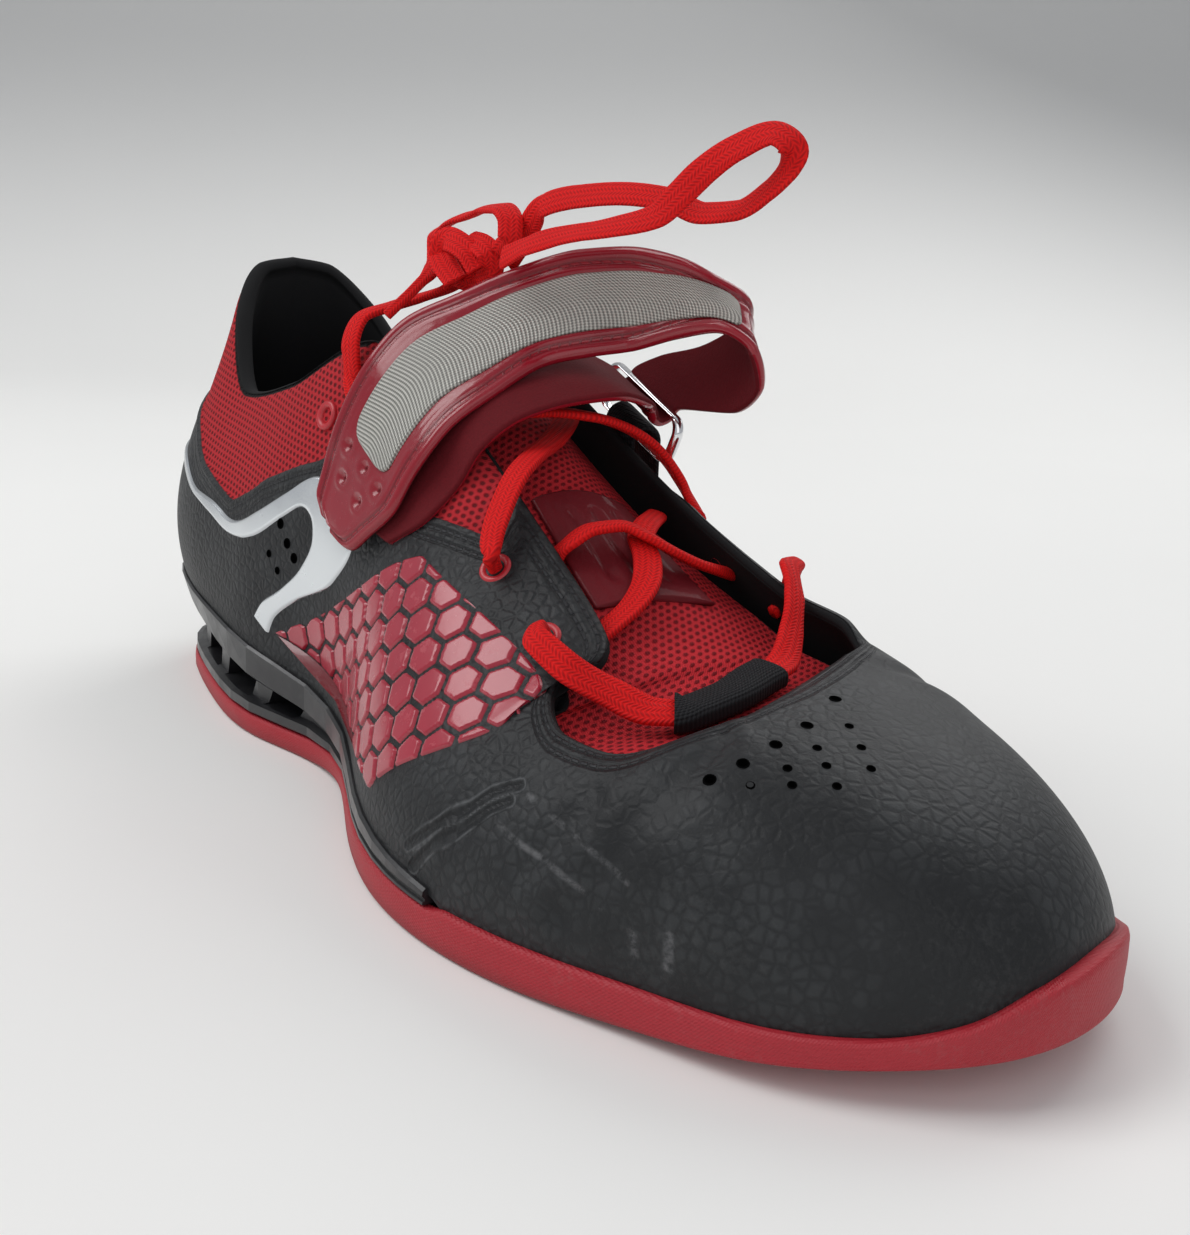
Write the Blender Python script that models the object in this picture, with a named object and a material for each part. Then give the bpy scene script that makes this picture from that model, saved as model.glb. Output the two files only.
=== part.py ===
"""Weightlifting shoe, right foot: sole, heel frame, hollow upper, tongue, strap and laces.

+X runs to the toe, +Y to the medial side, +Z up, the origin is on the floor under the middle.
Tables are in millimetres of the pattern shoe; the sizes below stretch the pattern to metres.
"""
import bpy
import bmesh
import numpy as np

outer_length = 0.290
ball_width = 0.1015
collar_height = 0.1126
pattern_length = 290.0
pattern_ball = 101.5
pattern_collar = 112.6

wall = 1.9
clearance = 0.35
overlay_rest = 0.6
toe_spring = 8.8
arch_rise = 1.6
turn = 360.0

# outline of the sole seen from above: angle round the sole from the heel, half width to each side
outline_lateral = (
    (14.1, 14.9), (25.8, 27.2), (38.7, 34.1), (53.1, 39.2), (66.4, 40.2), (76.1, 35.6),
    (84.3, 38.2), (92.3, 46.0), (101.5, 53.4), (111.1, 55.1), (121.3, 50.6), (132.8, 42.0),
    (145.1, 33.4), (158.4, 19.4),
)
outline_medial = (
    (14.1, 15.0), (25.8, 26.0), (38.7, 34.6), (53.1, 36.2), (66.4, 33.6), (76.1, 30.8),
    (84.3, 30.2), (92.3, 33.0), (101.5, 39.2), (111.1, 46.0), (121.3, 50.6), (132.8, 52.4),
    (145.1, 46.0), (158.4, 33.8),
)
toe_offset = 4.8

# heights round the sole: rim and floor of the rubber, floor and rim of the heel frame on it (the
# upper stands on the higher floor), and the underside of the insole
build_columns = ("angle", "rim", "floor", "seat", "cup", "bed")
build_rows = (
    (0, 5.0, 4.8, 22.3, 30.0, 23.6), (30, 5.0, 4.8, 22.0, 29.0, 23.3),
    (45, 5.0, 4.8, 20.5, 27.5, 21.8), (60, 5.0, 4.8, 17.0, 24.5, 18.3),
    (71, 5.2, 5.0, 13.5, 20.5, 14.8), (79, 5.6, 5.4, 11.4, 17.5, 12.7),
    (87, 6.2, 6.0, 9.8, 15.0, 11.1), (95, 6.7, 6.5, 9.0, 13.0, 10.4),
    (105, 6.9, 6.7, 8.8, 11.4, 10.1), (112.0, 6.9, 6.7, 8.7, 10.4, 9.9),
    (114.5, 8.2, 6.8, 6.8, 9.4, 9.8), (122, 8.4, 6.8, 6.8, 9.0, 9.4),
    (140, 9.4, 7.4, 7.4, 9.4, 9.2), (155, 11.0, 8.8, 8.8, 11.0, 10.2),
    (165, 14.0, 10.4, 10.4, 14.0, 11.8), (176, 18.6, 11.8, 11.8, 18.6, 13.2),
    (188, 20.4, 12.2, 12.2, 20.4, 13.6), (198, 18.4, 11.2, 11.2, 18.4, 12.6), (207, 14.6, 10.2, 10.2, 14.6, 12.0),
    (217, 11.6, 8.8, 8.8, 11.6, 10.4), (228, 9.6, 7.4, 7.4, 9.6, 9.5),
    (240, 8.6, 6.8, 6.8, 9.0, 9.5), (245.5, 8.2, 6.8, 6.8, 9.4, 9.8),
    (248.0, 6.9, 6.7, 8.7, 10.4, 9.9), (255, 6.9, 6.7, 8.8, 11.4, 10.1),
    (265, 6.7, 6.5, 9.0, 13.0, 10.4), (273, 6.2, 6.0, 9.8, 15.0, 11.1),
    (281, 5.6, 5.4, 11.4, 17.5, 12.7), (289, 5.2, 5.0, 13.5, 20.5, 14.8),
    (300, 5.0, 4.8, 17.0, 24.5, 18.3), (315, 5.0, 4.8, 20.5, 27.5, 21.8),
    (330, 5.0, 4.8, 22.0, 29.0, 23.3), (360, 5.0, 4.8, 22.3, 30.0, 23.6),
)
frame_reach = 112.0
frame_half = 60.0
sole_half = 80.0
# places along the shoe of the flex grooves under the sole and of the windows in the heel frame
groove_rows = (-118.0, -96.0, 22.0, 40.0, 58.0, 76.0, 94.0)
groove_wide = 2.6
groove_deep = 1.1
window_columns = ("start", "end", "lean")
window_rows = ((-136.0, -117.0, 1.0), (-109.0, -92.0, 2.5), (-84.0, -65.0, 3.0), (-57.0, -44.0, 2.0))
window_back = (-170.0, -66.0)
window_back_half = 10.0
window_rest = 2.2
# angles from heel to toe at which every ring of the sole and the upper has a point
half_angles = (0, 5, 10, 15, 20, 25, 30, 35, 40, 45, 50, 55, 60, 65, 70, 75, 80, 85, 90, 95, 99, 103,
               106, 108, 110, 112, 114.5, 118, 122, 127, 133, 139, 145, 151, 157, 163, 168, 172,
               176, 180)

# the upper, row by row round the feather line: inset of its foot, the top edge, and
# the two handles of the wall's curve (outward and upward at the foot, outward and down at the top)
upper_columns = ("angle", "inset", "edge_x", "edge_y", "edge_z",
                 "out_low", "up_low", "out_high", "down_high")
upper_rows = (
    (0, 2.6, -127.0, 0.0, 112.6, 1.0, 34, 4.0, 34),
    (15, 1.8, -124.5, -10.5, 111.2, 5.0, 34, 5.0, 32),
    (30, 0.8, -113.5, -21.0, 99.0, 11.0, 30, 7.0, 28),
    (45, 1.2, -91.5, -27.0, 80.5, 9.0, 26, 8.0, 20),
    (60, 2.2, -62.0, -27.5, 86.0, 3.0, 26, 9.0, 26),
    (71, 2.2, -34.0, -21.0, 98.0, 1.0, 28, 12.0, 28),
    (79, 1.8, -15.0, -17.0, 92.0, 2.0, 28, 15.0, 22),
    (87, 2.4, 4.0, -15.5, 81.0, 2.0, 26, 18.0, 16),
    (95, 2.6, 23.0, -15.0, 69.5, 2.0, 24, 20.0, 12),
    (102, 2.6, 39.0, -15.0, 60.0, 1.5, 21, 20.0, 8),
    (107, 2.6, 52.5, -16.0, 51.5, 1.5, 20, 19.0, 5),
    (110, 2.6, 56.5, -20.5, 48.0, 1.5, 19, 15.0, 4),
    (112.5, 2.6, 54.0, -26.0, 45.5, 1.5, 18, 12.0, 4),
    (116, 2.6, 57.5, -31.0, 42.5, 1.5, 17, 9.0, 4),
    (121, 2.6, 65.5, -33.5, 39.5, 1.5, 16, 8.0, 4),
    (128, 2.6, 76.0, -31.5, 39.0, 1.5, 16, 9.0, 3),
    (138, 2.6, 84.0, -24.5, 42.0, 1.5, 16, 14.0, 2),
    (152, 2.8, 86.5, -13.0, 45.2, 1.5, 17, 22.0, 1),
    (170, 3.0, 84.5, -2.5, 46.6, 1.5, 19, 30.0, 1),
    (190, 3.0, 82.0, 6.5, 47.8, 1.5, 20, 30.0, 1),
    (208, 3.0, 79.0, 15.5, 48.8, 1.5, 20, 25.0, 2),
    (226, 2.8, 75.5, 24.5, 49.4, 1.5, 20, 17.0, 3),
    (238, 2.6, 72.5, 29.5, 49.4, 1.5, 20, 13.0, 4),
    (244, 2.6, 67.5, 30.5, 52.6, 1.5, 20, 9.0, 8),
    (251, 2.6, 56.0, 27.5, 55.6, 1.5, 20, 9.0, 8),
    (258, 2.6, 45.0, 25.0, 60.5, 1.5, 22, 9.0, 10),
    (266, 2.6, 25.0, 22.0, 70.0, 1.5, 24, 9.0, 14),
    (274, 2.4, 7.0, 20.0, 79.5, 1.5, 26, 8.0, 18),
    (282, 1.8, -13.0, 18.0, 90.5, 1.5, 28, 8.0, 22),
    (290, 2.2, -34.0, 20.0, 98.0, 1.0, 28, 8.0, 28),
    (301, 2.6, -62.0, 26.5, 87.0, 1.5, 26, 7.0, 26),
    (315, 1.4, -91.5, 27.0, 81.5, 5.0, 26, 7.0, 20),
    (330, 1.0, -113.5, 21.0, 99.5, 8.0, 30, 6.0, 28),
    (345, 1.8, -124.5, 10.5, 111.2, 5.0, 34, 5.0, 32),
    (360, 2.6, -127.0, 0.0, 112.6, 1.0, 34, 4.0, 34),
)


def column(rows, columns, name):
    """One named column of a table."""
    return np.array([row[columns.index(name)] for row in rows], float)


def gentle(keys, values, at):
    """Curve through the rows that never swings past them (monotone cubic)."""
    keys, values, at = (np.asarray(item, float) for item in (keys, values, at))
    step = np.diff(keys)
    rise = np.diff(values) / step
    slope = np.zeros(len(keys))
    same = rise[:-1] * rise[1:] > 0
    left, right = 2 * step[1:] + step[:-1], step[1:] + 2 * step[:-1]
    safe = np.where(same[:, None], np.stack([rise[:-1], rise[1:]], 1), 1.0)
    slope[1:-1] = np.where(same, (left + right) / (left / safe[:, 0] + right / safe[:, 1]), 0)
    slope[0], slope[-1] = rise[0], rise[-1]
    spot = np.clip(np.searchsorted(keys, at, side="right") - 1, 0, len(step) - 1)
    share = (at - keys[spot]) / step[spot]
    cube, square = share ** 3, share ** 2
    return ((2 * cube - 3 * square + 1) * values[spot]
            + (cube - 2 * square + share) * step[spot] * slope[spot]
            + (3 * square - 2 * cube) * values[spot + 1]
            + (cube - square) * step[spot] * slope[spot + 1])


def even(keys, values, at, period):
    """Twice-smooth closed curve through the rows (periodic cubic spline)."""
    keys, values = np.asarray(keys, float), np.asarray(values, float)
    count = len(keys)
    step = np.diff(np.append(keys, keys[0] + period))
    rise = np.diff(np.append(values, values[0])) / step
    matrix = np.zeros((count, count))
    order = np.arange(count)
    matrix[order, order] = 2 * (step + np.roll(step, 1))
    matrix[order, (order + 1) % count] += step
    matrix[order, order - 1] += np.roll(step, 1)
    bend = np.linalg.solve(matrix, 6 * (rise - np.roll(rise, 1)))
    place = (np.asarray(at, float) - keys[0]) % period + keys[0]
    spot = np.clip(np.searchsorted(keys, place, side="right") - 1, 0, count - 1)
    after = (spot + 1) % count
    near = place - keys[spot]
    far = step[spot] - near
    return ((bend[spot] * far ** 3 + bend[after] * near ** 3) / (6 * step[spot])
            + (values[spot] / step[spot] - bend[spot] * step[spot] / 6) * far
            + (values[after] / step[spot] - bend[after] * step[spot] / 6) * near)


def outline_y(angle):
    """Side position of the sole's outline at an angle round it, before centring."""
    keys = [0.0] + [row[0] for row in outline_lateral] + [turn / 2]
    keys += [turn - row[0] for row in reversed(outline_medial)]
    values = [0.0] + [-row[1] for row in outline_lateral] + [toe_offset]
    values += [row[1] for row in reversed(outline_medial)]
    return even(keys, values, angle, turn)


every_degree = np.arange(0, turn)
side_shift = -(outline_y(every_degree).min() + outline_y(every_degree).max()) / 2


def outline(angle, inset=0.0):
    """Point of the outline at an angle, moved inward by the inset, and the outward direction."""
    angle = np.asarray(angle, float)
    ahead = 0.5
    def spot(at):
        return np.stack([-pattern_length / 2 * np.cos(np.radians(at)), outline_y(at)], -1)
    along = spot(angle + ahead) - spot(angle - ahead)
    along /= np.linalg.norm(along, axis=-1, keepdims=True)
    outward = np.stack([along[..., 1], -along[..., 0]], -1)
    return spot(angle) - outward * np.asarray(inset, float)[..., None], outward


def ring(angle, inset, height):
    """Ring of points round the sole at an inset and height."""
    flat, outward = outline(angle, np.broadcast_to(inset, np.shape(angle)))
    return np.concatenate([flat, np.broadcast_to(height, np.shape(angle))[..., None]], -1)


def ground(x):
    """Underside of the sole: flat heel and ball, a low arch at the waist, spring at the toe."""
    share = np.asarray(x) / pattern_length + 0.5
    spring = toe_spring * np.clip((share - 0.72) / 0.28, 0, 2) ** 2
    arch = arch_rise * np.sin(np.pi * np.clip((share - 0.36) / 0.18, 0, 1)) ** 2
    return spring + arch


def height(name, angle):
    """Height of one named level of the sole at an angle round it."""
    return gentle(column(build_rows, build_columns, "angle"),
                  column(build_rows, build_columns, name), np.asarray(angle, float) % turn)


def upper_values(angle):
    """Every column of the upper's table at an angle."""
    keys = column(upper_rows, upper_columns, "angle")
    at = np.asarray(angle, float) % turn
    return {name: gentle(keys, column(upper_rows, upper_columns, name), at)
            for name in upper_columns[1:]}


def upper_point(angle, share):
    """Outer face of the upper: a four-point curve from the foot (0) to the top edge (1)."""
    angle, share = np.broadcast_arrays(np.asarray(angle, float), np.asarray(share, float))
    at = upper_values(angle)
    flat, outward = outline(angle, at["inset"])
    foot = np.concatenate([flat, height("seat", angle)[..., None] + clearance], -1)
    edge = np.stack([at["edge_x"], at["edge_y"], at["edge_z"]], -1)
    out = np.concatenate([outward, np.zeros_like(outward[..., :1])], -1)
    up = np.zeros_like(out)
    up[..., 2] = 1.0
    low = foot + out * at["out_low"][..., None] + up * at["up_low"][..., None]
    high = edge + out * at["out_high"][..., None] - up * at["down_high"][..., None]
    t = share[..., None]
    return (foot * (1 - t) ** 3 + 3 * low * t * (1 - t) ** 2
            + 3 * high * t ** 2 * (1 - t) + edge * t ** 3)


def upper_offset(angle, share, depth):
    """Point of the upper moved outward (plus) or inward (minus), square to the wall's curve."""
    angle, share = np.broadcast_arrays(np.asarray(angle, float), np.asarray(share, float))
    tiny = 0.004
    across = upper_point(angle, share + tiny) - upper_point(angle, share - tiny)
    outward = outline(angle)[1]
    along = np.stack([-outward[..., 1], outward[..., 0], np.zeros(angle.shape)], -1)
    normal = np.cross(along, across)
    normal /= np.linalg.norm(normal, axis=-1, keepdims=True)
    return upper_point(angle, share) + normal * np.asarray(depth, float)[..., None]


def upper_level(angle, level, depth):
    """Point of the upper's outer face at a height, moved outward by a depth."""
    shares = np.linspace(0, 0.6, 49)
    heights = upper_point(np.asarray(angle)[:, None], shares)[..., 2]
    share = np.array([np.interp(z, row, shares) for z, row in zip(level, heights)])
    moved = upper_offset(angle, np.maximum(share, 0.004), depth)
    moved[:, 2] = level
    return moved


def metres(points):
    """Pattern millimetres to metres in the shoe's frame."""
    points = np.asarray(points, float)
    stretch = np.array([outer_length / pattern_length, ball_width / pattern_ball,
                        collar_height / pattern_collar])
    return (points + np.array([0, side_shift, 0])) * stretch


looks = {
    "rubber_red": (0.50, 0.03, 0.05, 0.55), "frame_grey": (0.06, 0.06, 0.07, 0.35),
    "leather_black": (0.03, 0.03, 0.035, 0.65), "mesh_red": (0.45, 0.05, 0.07, 0.85),
    "insole_black": (0.02, 0.02, 0.02, 0.90), "strap_red": (0.38, 0.01, 0.03, 0.20),
    "mesh_silver": (0.42, 0.41, 0.39, 0.45), "ring_chrome": (0.75, 0.75, 0.76, 0.10),
    "webbing_black": (0.02, 0.02, 0.022, 0.80), "trim_silver": (0.50, 0.54, 0.58, 0.30),
    "patch_red": (0.45, 0.02, 0.05, 0.25), "eyelet_red": (0.55, 0.03, 0.05, 0.40),
    "lace_red": (0.70, 0.03, 0.03, 0.75),
}


def material(name):
    """Plain principled material of a slot."""
    red, green, blue, rough = looks[name]
    made = bpy.data.materials.get(name) or bpy.data.materials.new(name)
    made.use_nodes = True
    shader = made.node_tree.nodes["Principled BSDF"]
    shader.inputs["Base Color"].default_value = (red, green, blue, 1)
    shader.inputs["Roughness"].default_value = rough
    made.diffuse_color = (red, green, blue, 1)
    return made


def solid(name, points, faces, slot):
    """Closed mesh object from points in pattern millimetres; faces are turned outward."""
    mesh = bpy.data.meshes.new(name)
    mesh.from_pydata([tuple(p) for p in metres(points)], [], faces)
    work = bmesh.new()
    work.from_mesh(mesh)
    bmesh.ops.remove_doubles(work, verts=work.verts, dist=1e-6)
    bmesh.ops.dissolve_degenerate(work, edges=work.edges, dist=1e-7)
    bmesh.ops.recalc_face_normals(work, faces=work.faces)
    if work.calc_volume(signed=True) < 0:
        bmesh.ops.reverse_faces(work, faces=work.faces)
    work.to_mesh(mesh)
    work.free()
    made = bpy.data.objects.new(name, mesh)
    bpy.context.scene.collection.objects.link(made)
    mesh.materials.append(material(slot))
    return made


def quads(index, wrap):
    """Faces of a grid of point numbers, closed round its first direction when wrap is set."""
    after = np.roll(index, -1, 0) if wrap else index[1:]
    base = index if wrap else index[:-1]
    return np.stack([base[:, :-1], after[:, :-1], after[:, 1:], base[:, 1:]], -1).reshape(-1, 4).tolist()


def sleeve(name, outer, inner, slot, wrap=True):
    """Solid between two grids of equal shape: faces of both, and bands along their edges."""
    rows, cols = outer.shape[:2]
    first = np.arange(rows * cols).reshape(rows, cols)
    second = first + rows * cols
    faces = quads(first, wrap) + quads(second[:, ::-1], wrap)
    faces += quads(np.stack([second[:, 0], first[:, 0]], 1), wrap)
    faces += quads(np.stack([first[:, -1], second[:, -1]], 1), wrap)
    if not wrap:
        faces += quads(np.stack([first[0], second[0]], 1), False)
        faces += quads(np.stack([second[-1], first[-1]], 1), False)
    return solid(name, np.concatenate([outer.reshape(-1, 3), inner.reshape(-1, 3)]), faces, slot)


def tray(name, rings, slot, closed):
    """Solid from nested rings that run from the toe end past the heel and back.

    The first and last ring are covered by strips between points of equal distance from the heel.
    """
    stack = np.stack(rings, 1)
    count, levels = stack.shape[:2]
    index = np.arange(count * levels).reshape(count, levels)
    faces = quads(index, closed)
    if closed:
        pairs = [(i, (count - i) % count) for i in range(count // 2 + 1)]
    else:
        pairs = [(i, count - 1 - i) for i in range(count // 2 + 1)]
        stack[0, :, 0] = stack[-1, :, 0] = stack[0, :, 0].mean()
        faces.append(index[0].tolist() + index[-1][::-1].tolist())
    for level in (0, levels - 1):
        for (a, b), (c, d) in zip(pairs[:-1], pairs[1:]):
            corners = [index[a, level], index[c, level], index[d, level], index[b, level]]
            faces.append([int(n) for n in dict.fromkeys(corners)])
    return solid(name, stack.reshape(-1, 3), faces, slot)


def cut(body, cutters):
    """Take the cutters out of a body with exact booleans and leave them hidden."""
    for cutter in cutters:
        step = body.modifiers.new(cutter.name, "BOOLEAN")
        step.operation, step.solver, step.object = "DIFFERENCE", "EXACT", cutter
        cutter.hide_render = True
        cutter.display_type = "WIRE"


def hexahedron(name, x_ends, y_ends, low, high, lean):
    """Six-sided block: two x positions, two y positions, heights at each x, the top leaning."""
    points = []
    for x, z_low, z_high in zip(x_ends, low, high):
        points += [(x, y_ends[0], z_low), (x, y_ends[1], z_low),
                   (x + lean, y_ends[1], z_high), (x + lean, y_ends[0], z_high)]
    faces = [(0, 1, 2, 3), (4, 7, 6, 5)] + [(i, (i + 1) % 4, (i + 1) % 4 + 4, i + 4) for i in range(4)]
    return solid(name, points, faces, "frame_grey")


def slab(name, x, wide, low, high):
    """Block across the whole sole, centred on a place along the shoe."""
    return hexahedron(name, (x - wide / 2, x + wide / 2), (-sole_half, sole_half), (low, low), (high, high), 0.0)


for old in list(bpy.data.objects):
    bpy.data.objects.remove(old)

# sole: rubber from heel to toe bumper
half = np.array(half_angles, float)
around = np.concatenate([half[::-1], turn - half[1:-1]])
rim, floor = height("rim", around), height("floor", around)
under = ground(-pattern_length / 2 * np.cos(np.radians(around)))
outsole = tray("outsole", [
    ring(around, 0.8, under),
    ring(around, 0.0, under + 0.8),
    ring(around, 0.2, under + 0.6 * (rim - under)),
    ring(around, 0.7, rim - 0.4),
    ring(around, 1.2, rim),
    upper_level(around, rim, clearance),
    upper_level(around, 0.65 * rim + 0.35 * floor, clearance),
    upper_level(around, 0.3 * rim + 0.7 * floor, clearance),
    upper_level(around, floor, clearance),
], "rubber_red", True)
grooves = [slab("groove_%d" % number, x, groove_wide, -1.0, ground(x) + groove_deep)
           for number, x in enumerate(groove_rows)]
cut(outsole, grooves)

# tongue, row by row from under the vamp to its free top: where its margins lie on the inside of the
# upper, the height of its arch, how far its middle reaches forward, the free top's offsets, gap
tongue_columns = ("side", "side_share", "inner", "inner_share", "arch", "forward",
                  "back", "lift", "narrow", "gap")
tongue_rows = (
    (139, 0.80, 221, 0.80, 1.5, 6, 0, 0, 0, 0.9), (131, 0.86, 229, 0.86, 2.5, 6, 0, 0, 0, 0.9),
    (123, 0.86, 236, 0.86, 2.5, 4, 0, 0, 0, 1.6), (116, 0.78, 242, 0.78, 3.0, 2, 0, 0, 0, 2.8),
    (108, 0.78, 249, 0.72, 4.5, 0, 0, 0, 0, 2.6), (101, 0.80, 257, 0.74, 6.0, 0, 0, 0, 0, 1.2),
    (94, 0.84, 265, 0.76, 8.0, 0, 0, 0, 0, 0.9), (87, 0.86, 273, 0.80, 9.5, 0, 0, 0, 0, 0.9),
    (80, 0.88, 281, 0.84, 11.0, 0, 0, 0, 0, 0.9), (74, 0.90, 288, 0.90, 12.0, 0, 0, 0, 0, 0.9),
    (74, 0.90, 288, 0.90, 12.0, 0, 4, 4, 0.05, 0.9), (74, 0.90, 288, 0.90, 11.0, 0, 7, 8, 0.14, 0.9),
)
tongue_thick = 3.4


def tongue_grid(rows_at, across, depth):
    """Face of the tongue: arches between its two margins; depth goes down through the tongue."""
    keys = np.arange(len(tongue_rows))
    at = {name: gentle(keys, column(tongue_rows, tongue_columns, name), rows_at)
          for name in tongue_columns}
    inside = -(wall + at["gap"])
    side = upper_offset(at["side"], at["side_share"], inside)[:, None]
    inner = upper_offset(at["inner"], at["inner_share"], inside)[:, None]
    t = np.asarray(across)[None, :, None]
    narrow = at["narrow"][:, None, None]
    t = narrow + t * (1 - 2 * narrow)
    face = side * (1 - t) + inner * t
    hump = (4 * t[..., 0] * (1 - t[..., 0])) ** 1.5
    face[..., 2] += at["arch"][:, None] * hump + at["lift"][:, None]
    face[..., 0] += at["forward"][:, None] * hump - at["back"][:, None]
    down = np.cross(np.gradient(face, axis=0), np.gradient(face, axis=1))
    down /= np.linalg.norm(down, axis=-1, keepdims=True)
    return face + down * depth


# heel frame: base plate, pillars, cup under the heel and the wings beside the waist
part_half = half[half <= frame_reach]
heelward = np.concatenate([part_half[::-1], turn - part_half[1:]])
base = height("rim", heelward) + clearance
seat = height("seat", heelward)
cup = height("cup", heelward)
flange = np.minimum(2.8, 0.4 * (seat - base))
lip = np.minimum(2.6, 0.25 * (seat - base))
waist_in = np.minimum(2.6, 0.3 * (seat - base))
heel_frame = tray("heel_frame", [
    ring(heelward, 1.0, base),
    ring(heelward, 0.4, base + 0.2 * flange),
    ring(heelward, 0.5, base + flange),
    ring(heelward, 0.5 + waist_in, base + 1.25 * flange),
    ring(heelward, 0.5 + waist_in, seat - lip),
    upper_level(heelward, seat + 0.4, clearance + 1.9),
    upper_level(heelward, cup - 0.5, clearance + 1.7),
    upper_level(heelward, cup, clearance + 1.1),
    upper_level(heelward, cup, clearance),
    upper_level(heelward, seat + 0.9, clearance),
    upper_level(heelward, seat, clearance),
], "frame_grey", False)


def ceiling(x):
    """Top of the frame's windows at a place along the shoe."""
    angle = np.degrees(np.arccos(np.clip(-2 * np.asarray(x, float) / pattern_length, -1, 1)))
    return height("seat", angle) - window_rest


sill = float(base[len(base) // 2] + flange[len(base) // 2] + 0.4)
windows = [hexahedron("window_%d" % number, (start, end), (-frame_half, frame_half), (sill, sill),
                      (ceiling(start), ceiling(end)), lean)
           for number, (start, end, lean) in enumerate(window_rows)]
windows.append(hexahedron("window_back", window_back, (-window_back_half, window_back_half),
                          (sill, sill), (ceiling(window_back[0]), ceiling(window_back[1])), 0.0))
cut(heel_frame, windows)

# upper: one hollow wall, open at the collar, the throat and underneath
upper_shares = np.array([0, 0.1, 0.24, 0.4, 0.56, 0.7, 0.82, 0.92, 1.0])
grid_angle, grid_share = np.meshgrid(around, upper_shares, indexing="ij")
outer_face = upper_point(grid_angle, grid_share)
inner_face = upper_offset(grid_angle, np.clip(grid_share, 0.01, 0.99), -wall)
inner_face[:, 0, 2] = outer_face[:, 0, 2]
upper = sleeve("upper", outer_face, inner_face, "leather_black")

# insole
bed_inset = upper_values(around)["inset"] + wall + 0.9
bed = height("bed", around)
insole = tray("insole", [
    ring(around, bed_inset + 1.0, bed),
    ring(around, bed_inset, bed + 0.8),
    ring(around, bed_inset, bed + 2.6),
    ring(around, bed_inset + 1.0, bed + 3.2),
], "insole_black", True)

# tongue
tongue_lines = np.linspace(0, len(tongue_rows) - 1, 23)
tongue_across = np.linspace(0, 1, 9)
tongue = sleeve("tongue", tongue_grid(tongue_lines, tongue_across, 0.0),
                tongue_grid(tongue_lines, tongue_across, tongue_thick), "mesh_red", False)

# silver band round the heel, row by row from its hooked tip: its outer and inner line as angle and
# share of the height on the upper; the far side mirrors it
trim_columns = ("angle_out", "share_out", "angle_in", "share_in")
trim_rows = (
    (68.5, 0.155, 65.5, 0.20), (69.0, 0.20, 66.5, 0.25), (72.0, 0.285, 69.0, 0.305),
    (77.0, 0.40, 71.8, 0.385), (78.6, 0.51, 72.8, 0.455), (75.0, 0.60, 71.5, 0.515),
    (70.5, 0.640, 69.2, 0.540), (66.5, 0.600, 66.8, 0.505), (62.5, 0.555, 63.0, 0.448),
    (57.0, 0.50, 57.0, 0.425), (49.5, 0.53, 50.5, 0.455), (37.5, 0.525, 40.0, 0.490),
    (20.0, 0.505, 20.0, 0.475), (0.0, 0.50, 0.0, 0.470),
)
trim_thick = 0.9
# raised field on each side of the waist: its rear and front line
patch_columns = ("angle_a", "share_a", "angle_b", "share_b")
patch_tables = {
    "lateral": ((68.8, 0.165, 100.0, 0.13), (81.0, 0.385, 107.0, 0.40), (91.5, 0.69, 114.8, 0.80)),
    "medial": ((68.8, 0.165, 100.0, 0.13), (80.0, 0.34, 104.0, 0.34), (90.0, 0.55, 110.0, 0.58)),
}
patch_thick = 1.0


def between(rows, columns, rows_at, across, mirrored):
    """Angles and shares of a grid between two lines on the upper given by a table."""
    keys = np.arange(len(rows))
    first, low, second, high = (gentle(keys, column(rows, columns, name), rows_at)[:, None]
                                for name in columns)
    t = np.asarray(across)[None]
    angle, share = first + (second - first) * t, low + (high - low) * t
    return (turn - angle if mirrored else angle), share


def plate(name, angle, share, thick, slot):
    """Thin solid resting just off the upper, over a grid of angles and shares."""
    return sleeve(name, upper_offset(angle, share, overlay_rest),
                  upper_offset(angle, share, overlay_rest + thick), slot, False)


trim_lines = np.linspace(0, len(trim_rows) - 1, 34)
trim_across = np.linspace(0, 1, 3)
trim_angle, trim_share = between(trim_rows, trim_columns, trim_lines, trim_across, False)
far_angle, far_share = between(trim_rows, trim_columns, trim_lines[-2::-1], trim_across, True)
plate("heel_trim", np.concatenate([trim_angle, far_angle]), np.concatenate([trim_share, far_share]),
      trim_thick, "trim_silver")
patch_across = np.linspace(0, 1, 8)
for side, patch_rows in patch_tables.items():
    patch_lines = np.linspace(0, len(patch_rows) - 1, 8)
    patch_angle, patch_share = between(patch_rows, patch_columns, patch_lines, patch_across,
                                       side == "medial")
    plate("side_patch_" + side, patch_angle, patch_share, patch_thick, "patch_red")

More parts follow.
